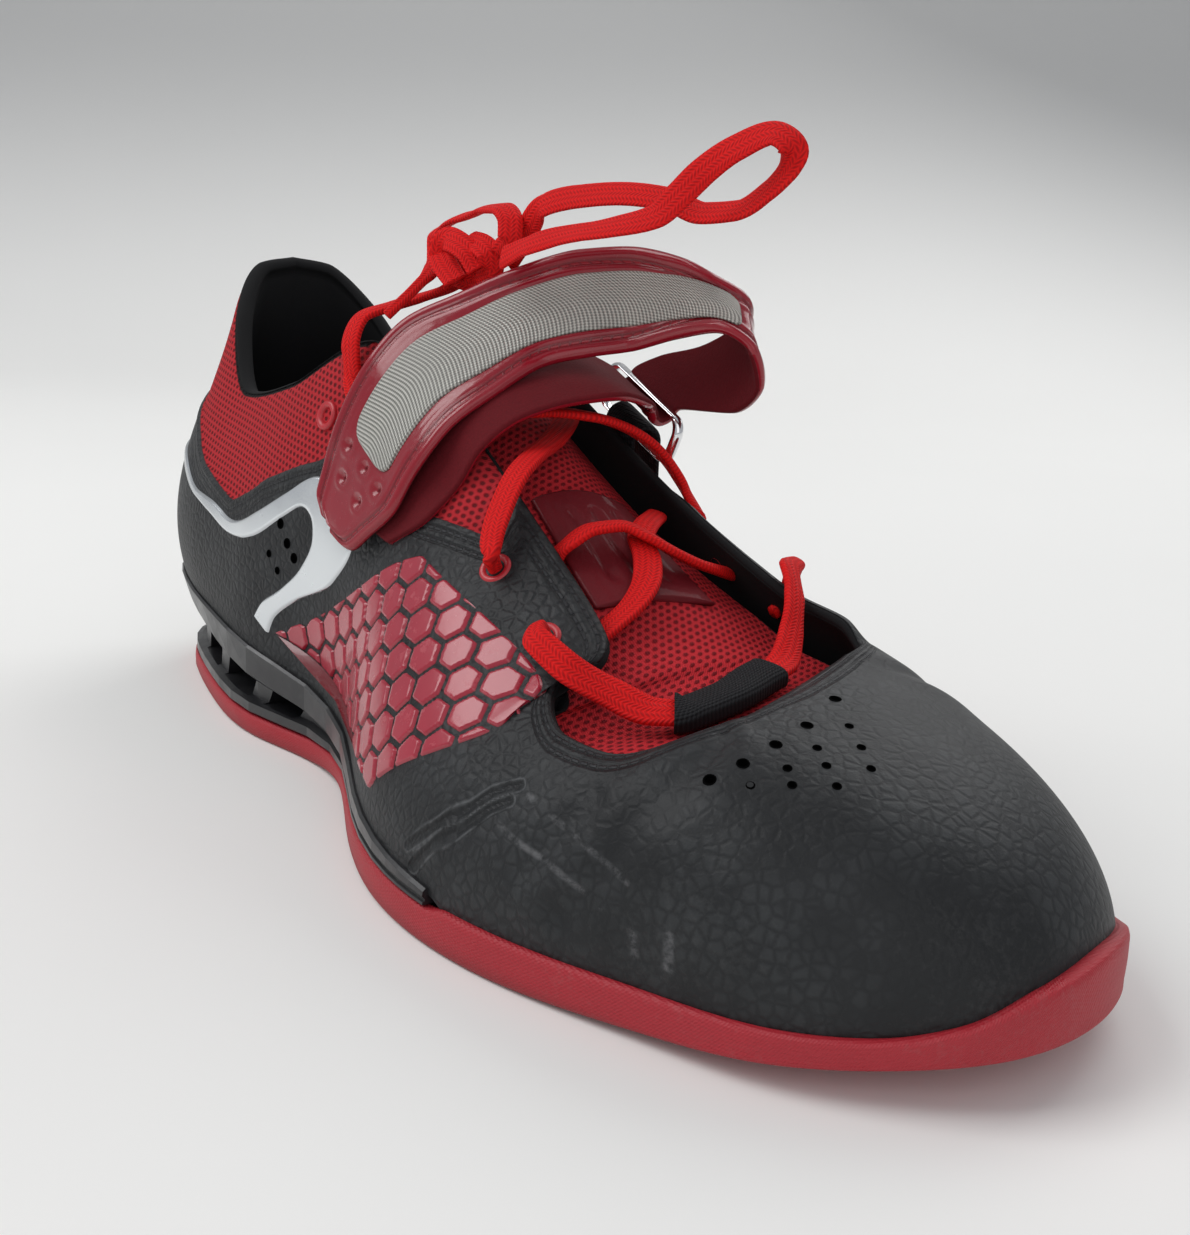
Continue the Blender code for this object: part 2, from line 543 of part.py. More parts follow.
# strap, row by row from its round tip on the lateral side up over the foot, forward round the fold,
# down to the ring, round its bar and back under to the lateral side: rear and front edge
strap_columns = ("rear_x", "rear_y", "rear_z", "front_x", "front_y", "front_z")
strap_rows = (
    (-29.0, -35.6, 61.5, -21.0, -36.0, 57.2), (-33.0, -34.6, 66.0, -14.0, -36.4, 55.8),
    (-32.8, -33.0, 72.0, -8.0, -34.8, 60.0), (-31.0, -31.6, 79.7, -1.0, -32.4, 66.5),
    (-27.0, -27.2, 92.6, 1.0, -29.4, 73.6), (-23.0, -19.2, 103.6, 4.0, -22.4, 84.0),
    (-16.0, -10.0, 109.6, 5.5, -12.5, 90.6), (-8.0, -2.0, 115.0, 6.0, -2.0, 96.0),
    (2.0, 9.0, 120.0, 11.0, 7.0, 98.5), (10.6, 16.0, 121.0, 15.0, 14.0, 99.8),
    (21.6, 20.0, 119.5, 24.0, 18.0, 103.0), (29.0, 23.5, 116.6, 36.5, 19.5, 105.5),
    (33.5, 28.5, 112.5, 44.5, 22.5, 102.0), (29.0, 32.5, 107.0, 43.0, 26.5, 95.0),
    (15.0, 33.8, 100.5, 33.0, 28.6, 88.6), (2.0, 32.4, 97.0, 22.5, 29.4, 87.6),
    (-4.0, 30.2, 93.7, 14.5, 28.6, 86.8), (-5.2, 29.2, 91.4, 13.2, 27.6, 84.5),
    (-5.8, 26.8, 90.4, 12.6, 25.2, 83.5), (-5.4, 24.5, 91.4, 13.0, 22.9, 84.5),
    (-5.0, 23.2, 93.3, 13.6, 21.8, 86.4), (-11.0, 17.0, 97.0, 18.4, 17.0, 88.4),
    (-11.5, 9.0, 98.2, 20.5, 8.5, 90.4), (-11.5, 1.0, 98.0, 17.0, 0.0, 89.2),
    (-13.0, -8.0, 96.6, 13.6, -11.0, 85.8), (-15.0, -16.6, 93.4, 10.6, -18.4, 79.2),
    (-17.5, -22.8, 84.5, 8.0, -21.6, 72.0), (-20.0, -27.4, 74.0, 5.7, -27.0, 65.3),
    (-26.0, -31.0, 63.0, -3.2, -31.4, 58.6),
)
strap_thick = 1.6
panel_from, panel_to, panel_margin, panel_thick = 3.3, 11.6, 0.24, 0.6


def strap_grid(rows_at, across, depth):
    """Face of the strap between its rear and front edge; depth goes through the band."""
    keys = np.arange(len(strap_rows))
    values = [gentle(keys, column(strap_rows, strap_columns, name), rows_at)
              for name in strap_columns]
    rear, front = np.stack(values[:3], -1)[:, None], np.stack(values[3:], -1)[:, None]
    t = np.asarray(across)[None, :, None]
    face = rear + (front - rear) * t
    through = np.cross(np.gradient(face, axis=0), np.gradient(face, axis=1))
    through /= np.linalg.norm(through, axis=-1, keepdims=True)
    return face + through * depth


strap_lines = np.linspace(0, len(strap_rows) - 1, 73)
strap_across = np.linspace(0, 1, 4)
sleeve("strap", strap_grid(strap_lines, strap_across, 0.0),
       strap_grid(strap_lines, strap_across, strap_thick), "strap_red", False)
panel_lines = np.linspace(panel_from, panel_to, 26)
panel_across = np.linspace(panel_margin, 1 - panel_margin, 4)
sleeve("strap_panel", strap_grid(panel_lines, panel_across, -clearance),
       strap_grid(panel_lines, panel_across, -clearance - panel_thick), "mesh_silver", False)


def frame_along(path, facing):
    """Directions across and out of a flat cord along its path: out is the facing made square."""
    along = np.gradient(path, axis=0)
    along /= np.linalg.norm(along, axis=-1, keepdims=True)
    out = facing - along * np.sum(facing * along, -1, keepdims=True)
    out /= np.linalg.norm(out, axis=-1, keepdims=True)
    return np.cross(along, out), out


def oval(path, facing, half_wide, half_thick, sides):
    """Rings of points round a path, half_wide across and half_thick out."""
    across, out = frame_along(path, facing)
    turns = np.linspace(0, 2 * np.pi, sides, endpoint=False)
    wide = np.broadcast_to(half_wide, (len(path),))[None, :, None]
    thick = np.broadcast_to(half_thick, (len(path),))[None, :, None]
    return (path[None] + across[None] * wide * np.cos(turns)[:, None, None]
            + out[None] * thick * np.sin(turns)[:, None, None])


def rod(name, rings, slot):
    """Solid rod from rings of points along a path, closed by a flat face at each end."""
    sides, count = rings.shape[:2]
    index = np.arange(sides * count).reshape(sides, count)
    faces = quads(index, True) + [index[:, 0].tolist(), index[::-1, -1].tolist()]
    return solid(name, rings.reshape(-1, 3), faces, slot)


# chrome ring that the strap turns round: middle, direction of its bars, direction across them
ring_middle = (4.0, 25.8, 85.6)
ring_long = (0.93, -0.075, -0.35)
ring_tall = (0.34, 0.10, 0.93)
ring_half_long = 15.0
ring_half_tall = 5.0
ring_corner = 3.5
ring_wire = 1.2
bar_turns = np.linspace(0, 2 * np.pi, 20, endpoint=False)
ring_u = np.sign(np.cos(bar_turns)) * (ring_half_long - ring_corner) + ring_corner * np.cos(bar_turns)
ring_v = np.sign(np.sin(bar_turns)) * (ring_half_tall - ring_corner) + ring_corner * np.sin(bar_turns)
bar_path = np.array(ring_middle) + ring_u[:, None] * np.array(ring_long) \
    + ring_v[:, None] * np.array(ring_tall)
ring_plane = np.cross(ring_long, ring_tall)
ring_plane /= np.linalg.norm(ring_plane)
ring_outward = bar_path - np.array(ring_middle)
ring_outward /= np.linalg.norm(ring_outward, axis=-1, keepdims=True)
wire_turns = np.linspace(0, 2 * np.pi, 8, endpoint=False)
wire = bar_path[:, None] + ring_wire * (ring_outward[:, None] * np.cos(wire_turns)[None, :, None]
                                        + ring_plane * np.sin(wire_turns)[None, :, None])
wire_index = np.arange(wire.shape[0] * wire.shape[1]).reshape(wire.shape[:2])
wire_faces = quads(np.concatenate([wire_index, wire_index[:, :1]], 1), True)
solid("d_ring", wire.reshape(-1, 3), wire_faces, "ring_chrome")

# webbing tab: from the medial wall up, over the ring's lower bar and down inside (outer face)
tab_columns = ("side", "up")
tab_rows = (
    (29.6, 60.0), (28.9, 66.0), (28.3, 72.0), (28.2, 77.0), (28.3, 80.9), (27.4, 83.1),
    (25.3, 84.0), (23.2, 83.1), (22.4, 81.4), (22.4, 79.6),
)
tab_x, tab_half, tab_thick = 2.3, 6.5, 1.3
tab_lines = np.linspace(0, len(tab_rows) - 1, 28)
tab_keys = np.arange(len(tab_rows))
tab_middle = np.stack([np.full(len(tab_lines), tab_x)]
                      + [gentle(tab_keys, column(tab_rows, tab_columns, name), tab_lines)
                         for name in tab_columns], -1)
tab_face = tab_middle[:, None] + np.linspace(-tab_half, tab_half, 4)[None, :, None] * np.array(ring_long)
tab_in = np.cross(np.gradient(tab_face, axis=0), np.gradient(tab_face, axis=1))
tab_in /= np.linalg.norm(tab_in, axis=-1, keepdims=True)
sleeve("ring_tab", tab_face, tab_face + tab_in * tab_thick, "webbing_black", False)

# glossy keeper lying on the tongue, and its place in rows and shares of the tongue
keeper_rows, keeper_side, keeper_thick = (4.75, 6.3), 0.26, 1.0
keeper_lines = np.linspace(*keeper_rows, 8)
keeper_across = np.linspace(keeper_side, 1 - keeper_side, 7)
sleeve("tongue_keeper", tongue_grid(keeper_lines, keeper_across, -clearance),
       tongue_grid(keeper_lines, keeper_across, -clearance - keeper_thick), "strap_red", False)

# eyelets: angle and share on the upper, and the ring round each hole
eyelet_columns = ("angle", "share")
eyelet_rows = (
    (105.0, 0.825), (98.0, 0.83), (68.5, 0.805),
    (254.5, 0.80), (262.0, 0.82), (269.0, 0.83), (291.5, 0.82),
)
eyelet_hole, eyelet_ring, eyelet_wire = 2.0, 2.75, 0.6
eyelet_reach = 4.0


def wall_frame(angle, share):
    """Point on the upper, outward normal, two directions in the wall, and how far the wall rises
    above that tangent plane within an eyelet's reach."""
    spot = upper_point(angle, share)
    near_angle, near_share = np.meshgrid(
        angle + np.linspace(-eyelet_reach, eyelet_reach, 33) * 2,
        share + np.linspace(-eyelet_reach, eyelet_reach, 33) / 20, indexing="ij")
    near = upper_point(near_angle, np.clip(near_share, 0, 1)) - spot
    out = np.cross(near[17, 16] - near[15, 16], near[16, 17] - near[16, 15])
    out /= np.linalg.norm(out)
    out *= np.sign(out @ (upper_offset(angle, share, 1.0) - spot))
    up = np.cross(out, (1.0, 0.0, 0.0))
    up /= np.linalg.norm(up)
    rise = (near[np.linalg.norm(near, axis=-1) < eyelet_reach] @ out).max()
    return spot, out, up, np.cross(up, out), rise


def tube(name, middle, out, first, second, radii, depths, slot):
    """Turned ring: circles of given radii at given depths along out, joined into a closed section."""
    turns = np.linspace(0, 2 * np.pi, 12, endpoint=False)
    spokes = first * np.cos(turns)[:, None] + second * np.sin(turns)[:, None]
    rings = (middle + spokes[:, None] * np.array(radii)[None, :, None]
             + out * np.array(depths)[None, :, None])
    index = np.arange(rings.shape[0] * rings.shape[1]).reshape(rings.shape[:2])
    faces = quads(np.concatenate([index, index[:, :1]], 1), True)
    return solid(name, rings.reshape(-1, 3), faces, slot)


holes = []
for number, (angle, share) in enumerate(eyelet_rows):
    spot, out, first, second, rise = wall_frame(angle, share)
    tube("eyelet_%d" % number, spot + out * rise, out, first, second,
         (eyelet_hole - 0.5, eyelet_ring + eyelet_wire, eyelet_ring + eyelet_wire, eyelet_ring,
          eyelet_hole - 0.1, eyelet_hole - 0.5),
         (clearance, clearance, clearance + eyelet_wire, clearance + 2 * eyelet_wire,
          clearance + 2 * eyelet_wire, clearance + eyelet_wire), "eyelet_red")
    path = spot + out * np.array([[-eyelet_reach], [eyelet_reach]])
    holes.append(rod("eyelet_hole_%d" % number,
                     oval(path, np.tile(first, (2, 1)), eyelet_hole, eyelet_hole, 12), "lace_red"))
cut(upper, holes)

# flat lace where it lies over the tongue: path, and half its width at each place
lace_columns = ("x", "y", "z", "half_wide")
lace_tables = {
    "lace_bar_front": (
        (47.8, -28.0, 53.2, 1.8), (51.4, -30.8, 52.4, 3.0), (57.6, -29.4, 49.6, 3.6),
        (64.0, -23.0, 45.0, 4.0), (70.5, -17.9, 42.6, 4.0), (74.0, -12.6, 42.8, 4.0),
        (73.8, -4.7, 44.0, 4.0), (71.2, 4.5, 45.3, 4.0), (68.8, 13.0, 46.6, 4.0),
        (65.2, 20.4, 51.4, 3.2), (60.0, 25.6, 58.0, 2.8), (54.4, 29.2, 61.6, 2.4),
        (50.4, 32.8, 60.4, 1.8)),
    "lace_cross_low": (
        (51.4, -11.8, 52.6, 3.2), (46.1, -7.6, 56.2, 3.8), (39.6, 0.8, 61.3, 3.8),
        (33.6, 7.0, 64.2, 3.8), (27.6, 12.8, 67.6, 3.2)),
    "lace_cross_high": (
        (41.0, 20.4, 60.0, 2.2), (40.4, 13.6, 63.0, 2.6), (38.8, 6.0, 66.6, 2.8),
        (34.6, -0.6, 68.6, 2.8), (31.8, -6.4, 68.6, 2.6), (31.2, -10.6, 67.4, 2.2)),
    "lace_rise": (
        (29.2, -27.2, 63.0, 1.8), (27.4, -26.0, 65.4, 3.0), (25.0, -23.0, 70.0, 3.4),
        (20.6, -15.6, 77.4, 3.4), (15.2, -8.8, 79.2, 3.6), (9.0, -1.4, 80.2, 3.8),
        (3.0, 5.4, 82.0, 3.4), (-2.0, 10.4, 83.6, 3.0)),
    "lace_over": (
        (31.4, 22.8, 70.6, 2.4), (27.4, 23.2, 74.0, 3.0), (23.8, 20.6, 78.0, 3.0),
        (18.6, 16.0, 82.6, 3.0), (13.0, 10.4, 87.0, 3.0), (8.0, 3.0, 88.6, 3.0),
        (2.0, -6.4, 89.4, 3.0)),
    "lace_top": (
        (-33.4, -25.9, 90.0, 2.2), (-34.0, -26.2, 96.4, 2.6), (-34.8, -23.2, 102.8, 2.8),
        (-34.6, -15.6, 105.4, 2.8), (-33.4, -10.0, 107.0, 2.8), (-29.2, -3.7, 108.4, 2.4)),
}
lace_half_thick = 1.15
lace_axis_z = 20.0


def lace_path(rows, count):
    """Smooth path through a lace table, its half widths, and the way its flat side faces."""
    keys = np.arange(len(rows))
    at = np.linspace(0, len(rows) - 1, count)
    path = np.stack([gentle(keys, column(rows, lace_columns, name), at) for name in lace_columns[:3]], -1)
    facing = path - np.stack([path[:, 0], np.zeros(count), np.full(count, lace_axis_z)], -1)
    return path, gentle(keys, column(rows, lace_columns, "half_wide"), at), facing


for name, rows in lace_tables.items():
    path, half_wide, facing = lace_path(rows, 2 * len(rows) - 1)
    rod(name, oval(path, facing, half_wide, lace_half_thick, 8), "lace_red")

# woven tag round the front lace
tag_span, tag_wall, tag_spare = (4.4, 7.6), 0.8, 0.35
tag_rows = lace_tables["lace_bar_front"]
path, half_wide, facing = lace_path(tag_rows, 2 * len(tag_rows) - 1)
tag_at = np.linspace(0, len(tag_rows) - 1, len(path))
inside_tag = (tag_at >= tag_span[0]) & (tag_at <= tag_span[1])
inner_rings = oval(path, facing, half_wide + tag_spare, lace_half_thick + tag_spare, 10)
outer_rings = oval(path, facing, half_wide + tag_spare + tag_wall,
                   lace_half_thick + tag_spare + tag_wall, 10)
sleeve("lace_tag", outer_rings[:, inside_tag], inner_rings[:, inside_tag], "webbing_black")

# free lace: knot, loops and end as cords
cord_tables = {
    "lace_loop_long": (
        (-14.0, 1.6, 116.3), (-8.5, 1.0, 120.4), (0.1, 0.6, 128.0), (8.2, 3.0, 130.0),
        (19.8, 7.0, 130.9), (28.7, 10.8, 130.2), (36.2, 13.4, 127.8), (43.5, 15.4, 128.4),
        (50.8, 16.8, 132.1), (55.3, 17.4, 136.3), (57.0, 16.4, 139.6), (53.7, 14.6, 141.9),
        (47.7, 11.2, 139.3), (42.6, 8.0, 135.1), (39.7, 5.0, 130.8), (35.6, 2.6, 126.7),
        (27.0, -1.0, 124.4), (14.0, -4.4, 122.2), (5.5, -6.4, 120.0), (-3.5, -6.4, 117.3)),
    "lace_loop_small": (
        (-26.9, -21.0, 103.9), (-26.8, -16.5, 107.8), (-27.6, -11.8, 111.6),
        (-30.6, -7.6, 114.4), (-34.2, -4.8, 117.6), (-34.6, -4.6, 120.8),
        (-31.4, -4.4, 123.2), (-26.4, -4.2, 124.8), (-22.0, -3.2, 125.8),
        (-16.9, -2.6, 127.1), (-11.1, -2.6, 127.3), (-6.7, -3.0, 125.0),
        (-5.6, -3.6, 121.5), (-9.4, -3.4, 118.1)),
    "lace_knot": (
        (-28.0, -4.9, 114.2), (-23.3, -4.4, 112.5), (-18.1, -3.4, 112.8),
        (-12.9, -3.6, 114.7), (-11.8, -4.6, 117.6), (-15.0, -5.2, 119.8),
        (-20.1, -5.2, 120.5)),
}
cord_thick = 3.4


def cord(name, rows, count):
    """Round cord through a table of points."""
    keys = np.arange(len(rows))
    table = np.array(rows, float)
    path = metres(np.stack([gentle(keys, table[:, i], np.linspace(0, len(rows) - 1, count))
                            for i in range(3)], -1))
    made = bpy.data.curves.new(name, "CURVE")
    made.dimensions = "3D"
    made.bevel_depth = cord_thick / 2000
    made.bevel_resolution = 2
    made.use_fill_caps = True
    line = made.splines.new("POLY")
    line.points.add(count - 1)
    line.points.foreach_set("co", np.append(path, np.ones((count, 1)), 1).ravel())
    item = bpy.data.objects.new(name, made)
    bpy.context.scene.collection.objects.link(item)
    made.materials.append(material("lace_red"))
    return item


for name, rows in cord_tables.items():
    cord(name, rows, 2 * len(rows) - 1 if len(rows) > 6 else 3 * len(rows) - 2)
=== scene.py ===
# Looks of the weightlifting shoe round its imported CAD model, after the photograph.
import math

import bpy
import numpy as np
from mathutils import Matrix, Vector


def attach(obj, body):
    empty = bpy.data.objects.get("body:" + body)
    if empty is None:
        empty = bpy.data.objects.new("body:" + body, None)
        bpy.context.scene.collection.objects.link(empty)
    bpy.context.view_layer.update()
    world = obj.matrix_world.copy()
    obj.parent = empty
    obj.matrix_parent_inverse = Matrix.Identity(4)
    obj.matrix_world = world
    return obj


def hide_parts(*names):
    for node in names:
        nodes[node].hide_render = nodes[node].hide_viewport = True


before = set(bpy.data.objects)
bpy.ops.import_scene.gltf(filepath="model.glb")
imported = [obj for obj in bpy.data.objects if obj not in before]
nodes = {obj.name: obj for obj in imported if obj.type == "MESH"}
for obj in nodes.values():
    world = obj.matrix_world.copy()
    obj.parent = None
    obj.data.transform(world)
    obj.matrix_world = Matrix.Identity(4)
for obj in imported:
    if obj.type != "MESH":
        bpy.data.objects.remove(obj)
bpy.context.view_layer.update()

# camera: found by fitting the shoe's outline to the photo
cameraView = dict(azimuth=54.157, elevation=15.0, roll=2.848, focal=1418.05, tall=1235.0,
                  place=(0.255256, -0.163937, 0.122383))


def addCamera(view):
    # Camera looking along -(sin a cos e, -cos a cos e, sin e), turned by the roll about its axis.
    a, e, r = (math.radians(view[key]) for key in ("azimuth", "elevation", "roll"))
    ahead = Vector((-math.sin(a) * math.cos(e), math.cos(a) * math.cos(e), -math.sin(e)))
    right = ahead.cross(Vector((0, 0, 1))).normalized()
    up = right.cross(ahead)
    right, up = (right * math.cos(r) + up * math.sin(r), up * math.cos(r) - right * math.sin(r))
    data = bpy.data.cameras.new("camera")
    data.lens = view["focal"] / view["tall"] * 36.0
    data.clip_start = 0.01
    camera = bpy.data.objects.new("camera", data)
    turn = Matrix((right, up, -ahead)).transposed().to_4x4()
    camera.matrix_world = Matrix.Translation(view["place"]) @ turn
    bpy.context.scene.collection.objects.link(camera)
    bpy.context.scene.camera = camera


addCamera(cameraView)
print("camera done")

# curves and tables
shoe = dict(length=290.0, wall=1.9, clearance=0.35, toeSpring=8.8, archRise=1.6, turn=360.0,
            toeOffset=4.8)


def gentle(keys, values, at):
    # Monotone cubic through (keys, values): slopes are harmonic means of the neighbouring rises.
    keys, values, at = (np.asarray(item, float) for item in (keys, values, at))
    step = np.diff(keys)
    rise = np.diff(values) / step
    slope = np.zeros(len(keys))
    same = rise[:-1] * rise[1:] > 0
    left, right = 2 * step[1:] + step[:-1], step[1:] + 2 * step[:-1]
    safe = np.where(same[:, None], np.stack([rise[:-1], rise[1:]], 1), 1.0)
    slope[1:-1] = np.where(same, (left + right) / (left / safe[:, 0] + right / safe[:, 1]), 0)
    slope[0], slope[-1] = rise[0], rise[-1]
    spot = np.clip(np.searchsorted(keys, at, side="right") - 1, 0, len(step) - 1)
    share = (at - keys[spot]) / step[spot]
    cube, square = share ** 3, share ** 2
    return ((2 * cube - 3 * square + 1) * values[spot]
            + (cube - 2 * square + share) * step[spot] * slope[spot]
            + (3 * square - 2 * cube) * values[spot + 1]
            + (cube - square) * step[spot] * slope[spot + 1])


def even(keys, values, at, period):
    # Periodic cubic spline: second slopes M solve h0 M0 + 2(h0+h1) M1 + h1 M2 = 6 (r1 - r0).
    keys, values = np.asarray(keys, float), np.asarray(values, float)
    count = len(keys)
    step = np.diff(np.append(keys, keys[0] + period))
    rise = np.diff(np.append(values, values[0])) / step
    matrix = np.zeros((count, count))
    order = np.arange(count)
    matrix[order, order] = 2 * (step + np.roll(step, 1))
    matrix[order, (order + 1) % count] += step
    matrix[order, order - 1] += np.roll(step, 1)
    bend = np.linalg.solve(matrix, 6 * (rise - np.roll(rise, 1)))
    place = (np.asarray(at, float) - keys[0]) % period + keys[0]
    spot = np.clip(np.searchsorted(keys, place, side="right") - 1, 0, count - 1)
    after = (spot + 1) % count
    near = place - keys[spot]
    far = step[spot] - near
    return ((bend[spot] * far ** 3 + bend[after] * near ** 3) / (6 * step[spot])
            + (values[spot] / step[spot] - bend[spot] * step[spot] / 6) * far
            + (values[after] / step[spot] - bend[after] * step[spot] / 6) * near)


def bell(value, width):
    # exp(-(value / width)^2).
    return np.exp(-(value / width) ** 2)


def smooth(low, high, value):
    # 3 t^2 - 2 t^3 with t = (value - low) / (high - low) held to 0..1.
    t = np.clip((value - low) / (high - low), 0, 1)
    return t * t * (3 - 2 * t)


def unit(vectors):
    # v / |v|.
    return vectors / np.linalg.norm(vectors, axis=-1, keepdims=True)


def circle(count):
    # Cosines and sines of even steps round a circle.
    turnBy = np.linspace(0, 2 * np.pi, count, endpoint=False)
    return np.cos(turnBy), np.sin(turnBy)


def powered(value, power):
    # |value|^power with the sign of the value.
    return np.sign(value) * abs(value) ** power


# outline of the sole seen from above: angle round the sole from the heel, half width to each side
outlineLateral = (
    (14.1, 14.9), (25.8, 27.2), (38.7, 34.1), (53.1, 39.2), (66.4, 40.2), (76.1, 35.6),
    (84.3, 38.2), (92.3, 46.0), (101.5, 53.4), (111.1, 55.1), (121.3, 50.6), (132.8, 42.0),
    (145.1, 33.4), (158.4, 19.4),
)
outlineMedial = (
    (14.1, 15.0), (25.8, 26.0), (38.7, 34.6), (53.1, 36.2), (66.4, 33.6), (76.1, 30.8),
    (84.3, 30.2), (92.3, 33.0), (101.5, 39.2), (111.1, 46.0), (121.3, 50.6), (132.8, 52.4),
    (145.1, 46.0), (158.4, 33.8),
)
# heights round the sole: rim and floor of the rubber, floor and rim of the heel frame on it (the
# upper stands on the higher floor), and the underside of the insole; the heel is the same both sides
buildColumns = ("angle", "rim", "floor", "seat", "cup", "bed")
heelRows = (
    (0, 5.0, 4.8, 22.3, 30.0, 23.6), (30, 5.0, 4.8, 22.0, 29.0, 23.3),
    (45, 5.0, 4.8, 20.5, 27.5, 21.8), (60, 5.0, 4.8, 17.0, 24.5, 18.3),
    (71, 5.2, 5.0, 13.5, 20.5, 14.8), (79, 5.6, 5.4, 11.4, 17.5, 12.7),
    (87, 6.2, 6.0, 9.8, 15.0, 11.1), (95, 6.7, 6.5, 9.0, 13.0, 10.4),
    (105, 6.9, 6.7, 8.8, 11.4, 10.1), (112.0, 6.9, 6.7, 8.7, 10.4, 9.9),
    (114.5, 8.2, 6.8, 6.8, 9.4, 9.8),
)
toeRows = (
    (122, 8.4, 6.8, 6.8, 9.0, 9.4), (140, 9.4, 7.4, 7.4, 9.4, 9.2),
    (155, 11.0, 8.8, 8.8, 11.0, 10.2), (165, 14.0, 10.4, 10.4, 14.0, 11.8),
    (176, 18.6, 11.8, 11.8, 18.6, 13.2), (188, 20.4, 12.2, 12.2, 20.4, 13.6),
    (198, 18.4, 11.2, 11.2, 18.4, 12.6), (207, 14.6, 10.2, 10.2, 14.6, 12.0),
    (217, 11.6, 8.8, 8.8, 11.6, 10.4), (228, 9.6, 7.4, 7.4, 9.6, 9.5),
    (240, 8.6, 6.8, 6.8, 9.0, 9.5),
)
buildRows = heelRows + toeRows + tuple((360 - row[0],) + row[1:] for row in reversed(heelRows))
# the upper, row by row round the feather line: inset of its foot, the top edge, and
# the two handles of the wall's curve (outward and upward at the foot, outward and down at the top)
upperColumns = ("angle", "inset", "edge_x", "edge_y", "edge_z",
                "out_low", "up_low", "out_high", "down_high")
upperRows = (
    (0, 2.6, -127.0, 0.0, 112.6, 1.0, 34, 4.0, 34),
    (15, 1.8, -124.5, -10.5, 111.2, 5.0, 34, 5.0, 32),
    (30, 0.8, -113.5, -21.0, 99.0, 11.0, 30, 7.0, 28),
    (45, 1.2, -91.5, -27.0, 80.5, 9.0, 26, 8.0, 20),
    (60, 2.2, -62.0, -27.5, 86.0, 3.0, 26, 9.0, 26),
    (71, 2.2, -34.0, -21.0, 98.0, 1.0, 28, 12.0, 28),
    (79, 1.8, -15.0, -17.0, 92.0, 2.0, 28, 15.0, 22),
    (87, 2.4, 4.0, -15.5, 81.0, 2.0, 26, 18.0, 16),
    (95, 2.6, 23.0, -15.0, 69.5, 2.0, 24, 20.0, 12),
    (102, 2.6, 39.0, -15.0, 60.0, 1.5, 21, 20.0, 8),
    (107, 2.6, 52.5, -16.0, 51.5, 1.5, 20, 19.0, 5),
    (110, 2.6, 56.5, -20.5, 48.0, 1.5, 19, 15.0, 4),
    (112.5, 2.6, 54.0, -26.0, 45.5, 1.5, 18, 12.0, 4),
    (116, 2.6, 57.5, -31.0, 42.5, 1.5, 17, 9.0, 4),
    (121, 2.6, 65.5, -33.5, 39.5, 1.5, 16, 8.0, 4),
    (128, 2.6, 76.0, -31.5, 39.0, 1.5, 16, 9.0, 3),
    (138, 2.6, 84.0, -24.5, 42.0, 1.5, 16, 14.0, 2),
    (152, 2.8, 86.5, -13.0, 45.2, 1.5, 17, 22.0, 1),
    (170, 3.0, 84.5, -2.5, 46.6, 1.5, 19, 30.0, 1),
    (190, 3.0, 82.0, 6.5, 47.8, 1.5, 20, 30.0, 1),
    (208, 3.0, 79.0, 15.5, 48.8, 1.5, 20, 25.0, 2),
    (226, 2.8, 75.5, 24.5, 49.4, 1.5, 20, 17.0, 3),
    (238, 2.6, 72.5, 29.5, 49.4, 1.5, 20, 13.0, 4),
    (244, 2.6, 67.5, 30.5, 52.6, 1.5, 20, 9.0, 8),
    (251, 2.6, 56.0, 27.5, 55.6, 1.5, 20, 9.0, 8),
    (258, 2.6, 45.0, 25.0, 60.5, 1.5, 22, 9.0, 10),
    (266, 2.6, 25.0, 22.0, 70.0, 1.5, 24, 9.0, 14),
    (274, 2.4, 7.0, 20.0, 79.5, 1.5, 26, 8.0, 18),
    (282, 1.8, -13.0, 18.0, 90.5, 1.5, 28, 8.0, 22),
    (290, 2.2, -34.0, 20.0, 98.0, 1.0, 28, 8.0, 28),
    (301, 2.6, -62.0, 26.5, 87.0, 1.5, 26, 7.0, 26),
    (315, 1.4, -91.5, 27.0, 81.5, 5.0, 26, 7.0, 20),
    (330, 1.0, -113.5, 21.0, 99.5, 8.0, 30, 6.0, 28),
    (345, 1.8, -124.5, 10.5, 111.2, 5.0, 34, 5.0, 32),
    (360, 2.6, -127.0, 0.0, 112.6, 1.0, 34, 4.0, 34),
)


# tongue, row by row from under the vamp to its free top: where its margins lie on the inside of the
# upper, the height of its arch, how far its middle reaches forward, the free top's offsets, gap
tongueColumns = ("side", "side_share", "inner", "inner_share", "arch", "forward",
                 "back", "lift", "narrow", "gap")
tongueRows = (
    (139, 0.80, 221, 0.80, 1.5, 6, 0, 0, 0, 0.9), (131, 0.86, 229, 0.86, 2.5, 6, 0, 0, 0, 0.9),
    (123, 0.86, 236, 0.86, 2.5, 4, 0, 0, 0, 1.6), (116, 0.78, 242, 0.78, 3.0, 2, 0, 0, 0, 2.8),
    (108, 0.78, 249, 0.72, 4.5, 0, 0, 0, 0, 2.6), (101, 0.80, 257, 0.74, 6.0, 0, 0, 0, 0, 1.2),
    (94, 0.84, 265, 0.76, 8.0, 0, 0, 0, 0, 0.9), (87, 0.86, 273, 0.80, 9.5, 0, 0, 0, 0, 0.9),
    (80, 0.88, 281, 0.84, 11.0, 0, 0, 0, 0, 0.9), (74, 0.90, 288, 0.90, 12.0, 0, 0, 0, 0, 0.9),
    (74, 0.90, 288, 0.90, 12.0, 0, 4, 4, 0.05, 0.9), (74, 0.90, 288, 0.90, 11.0, 0, 7, 8, 0.14, 0.9),
)

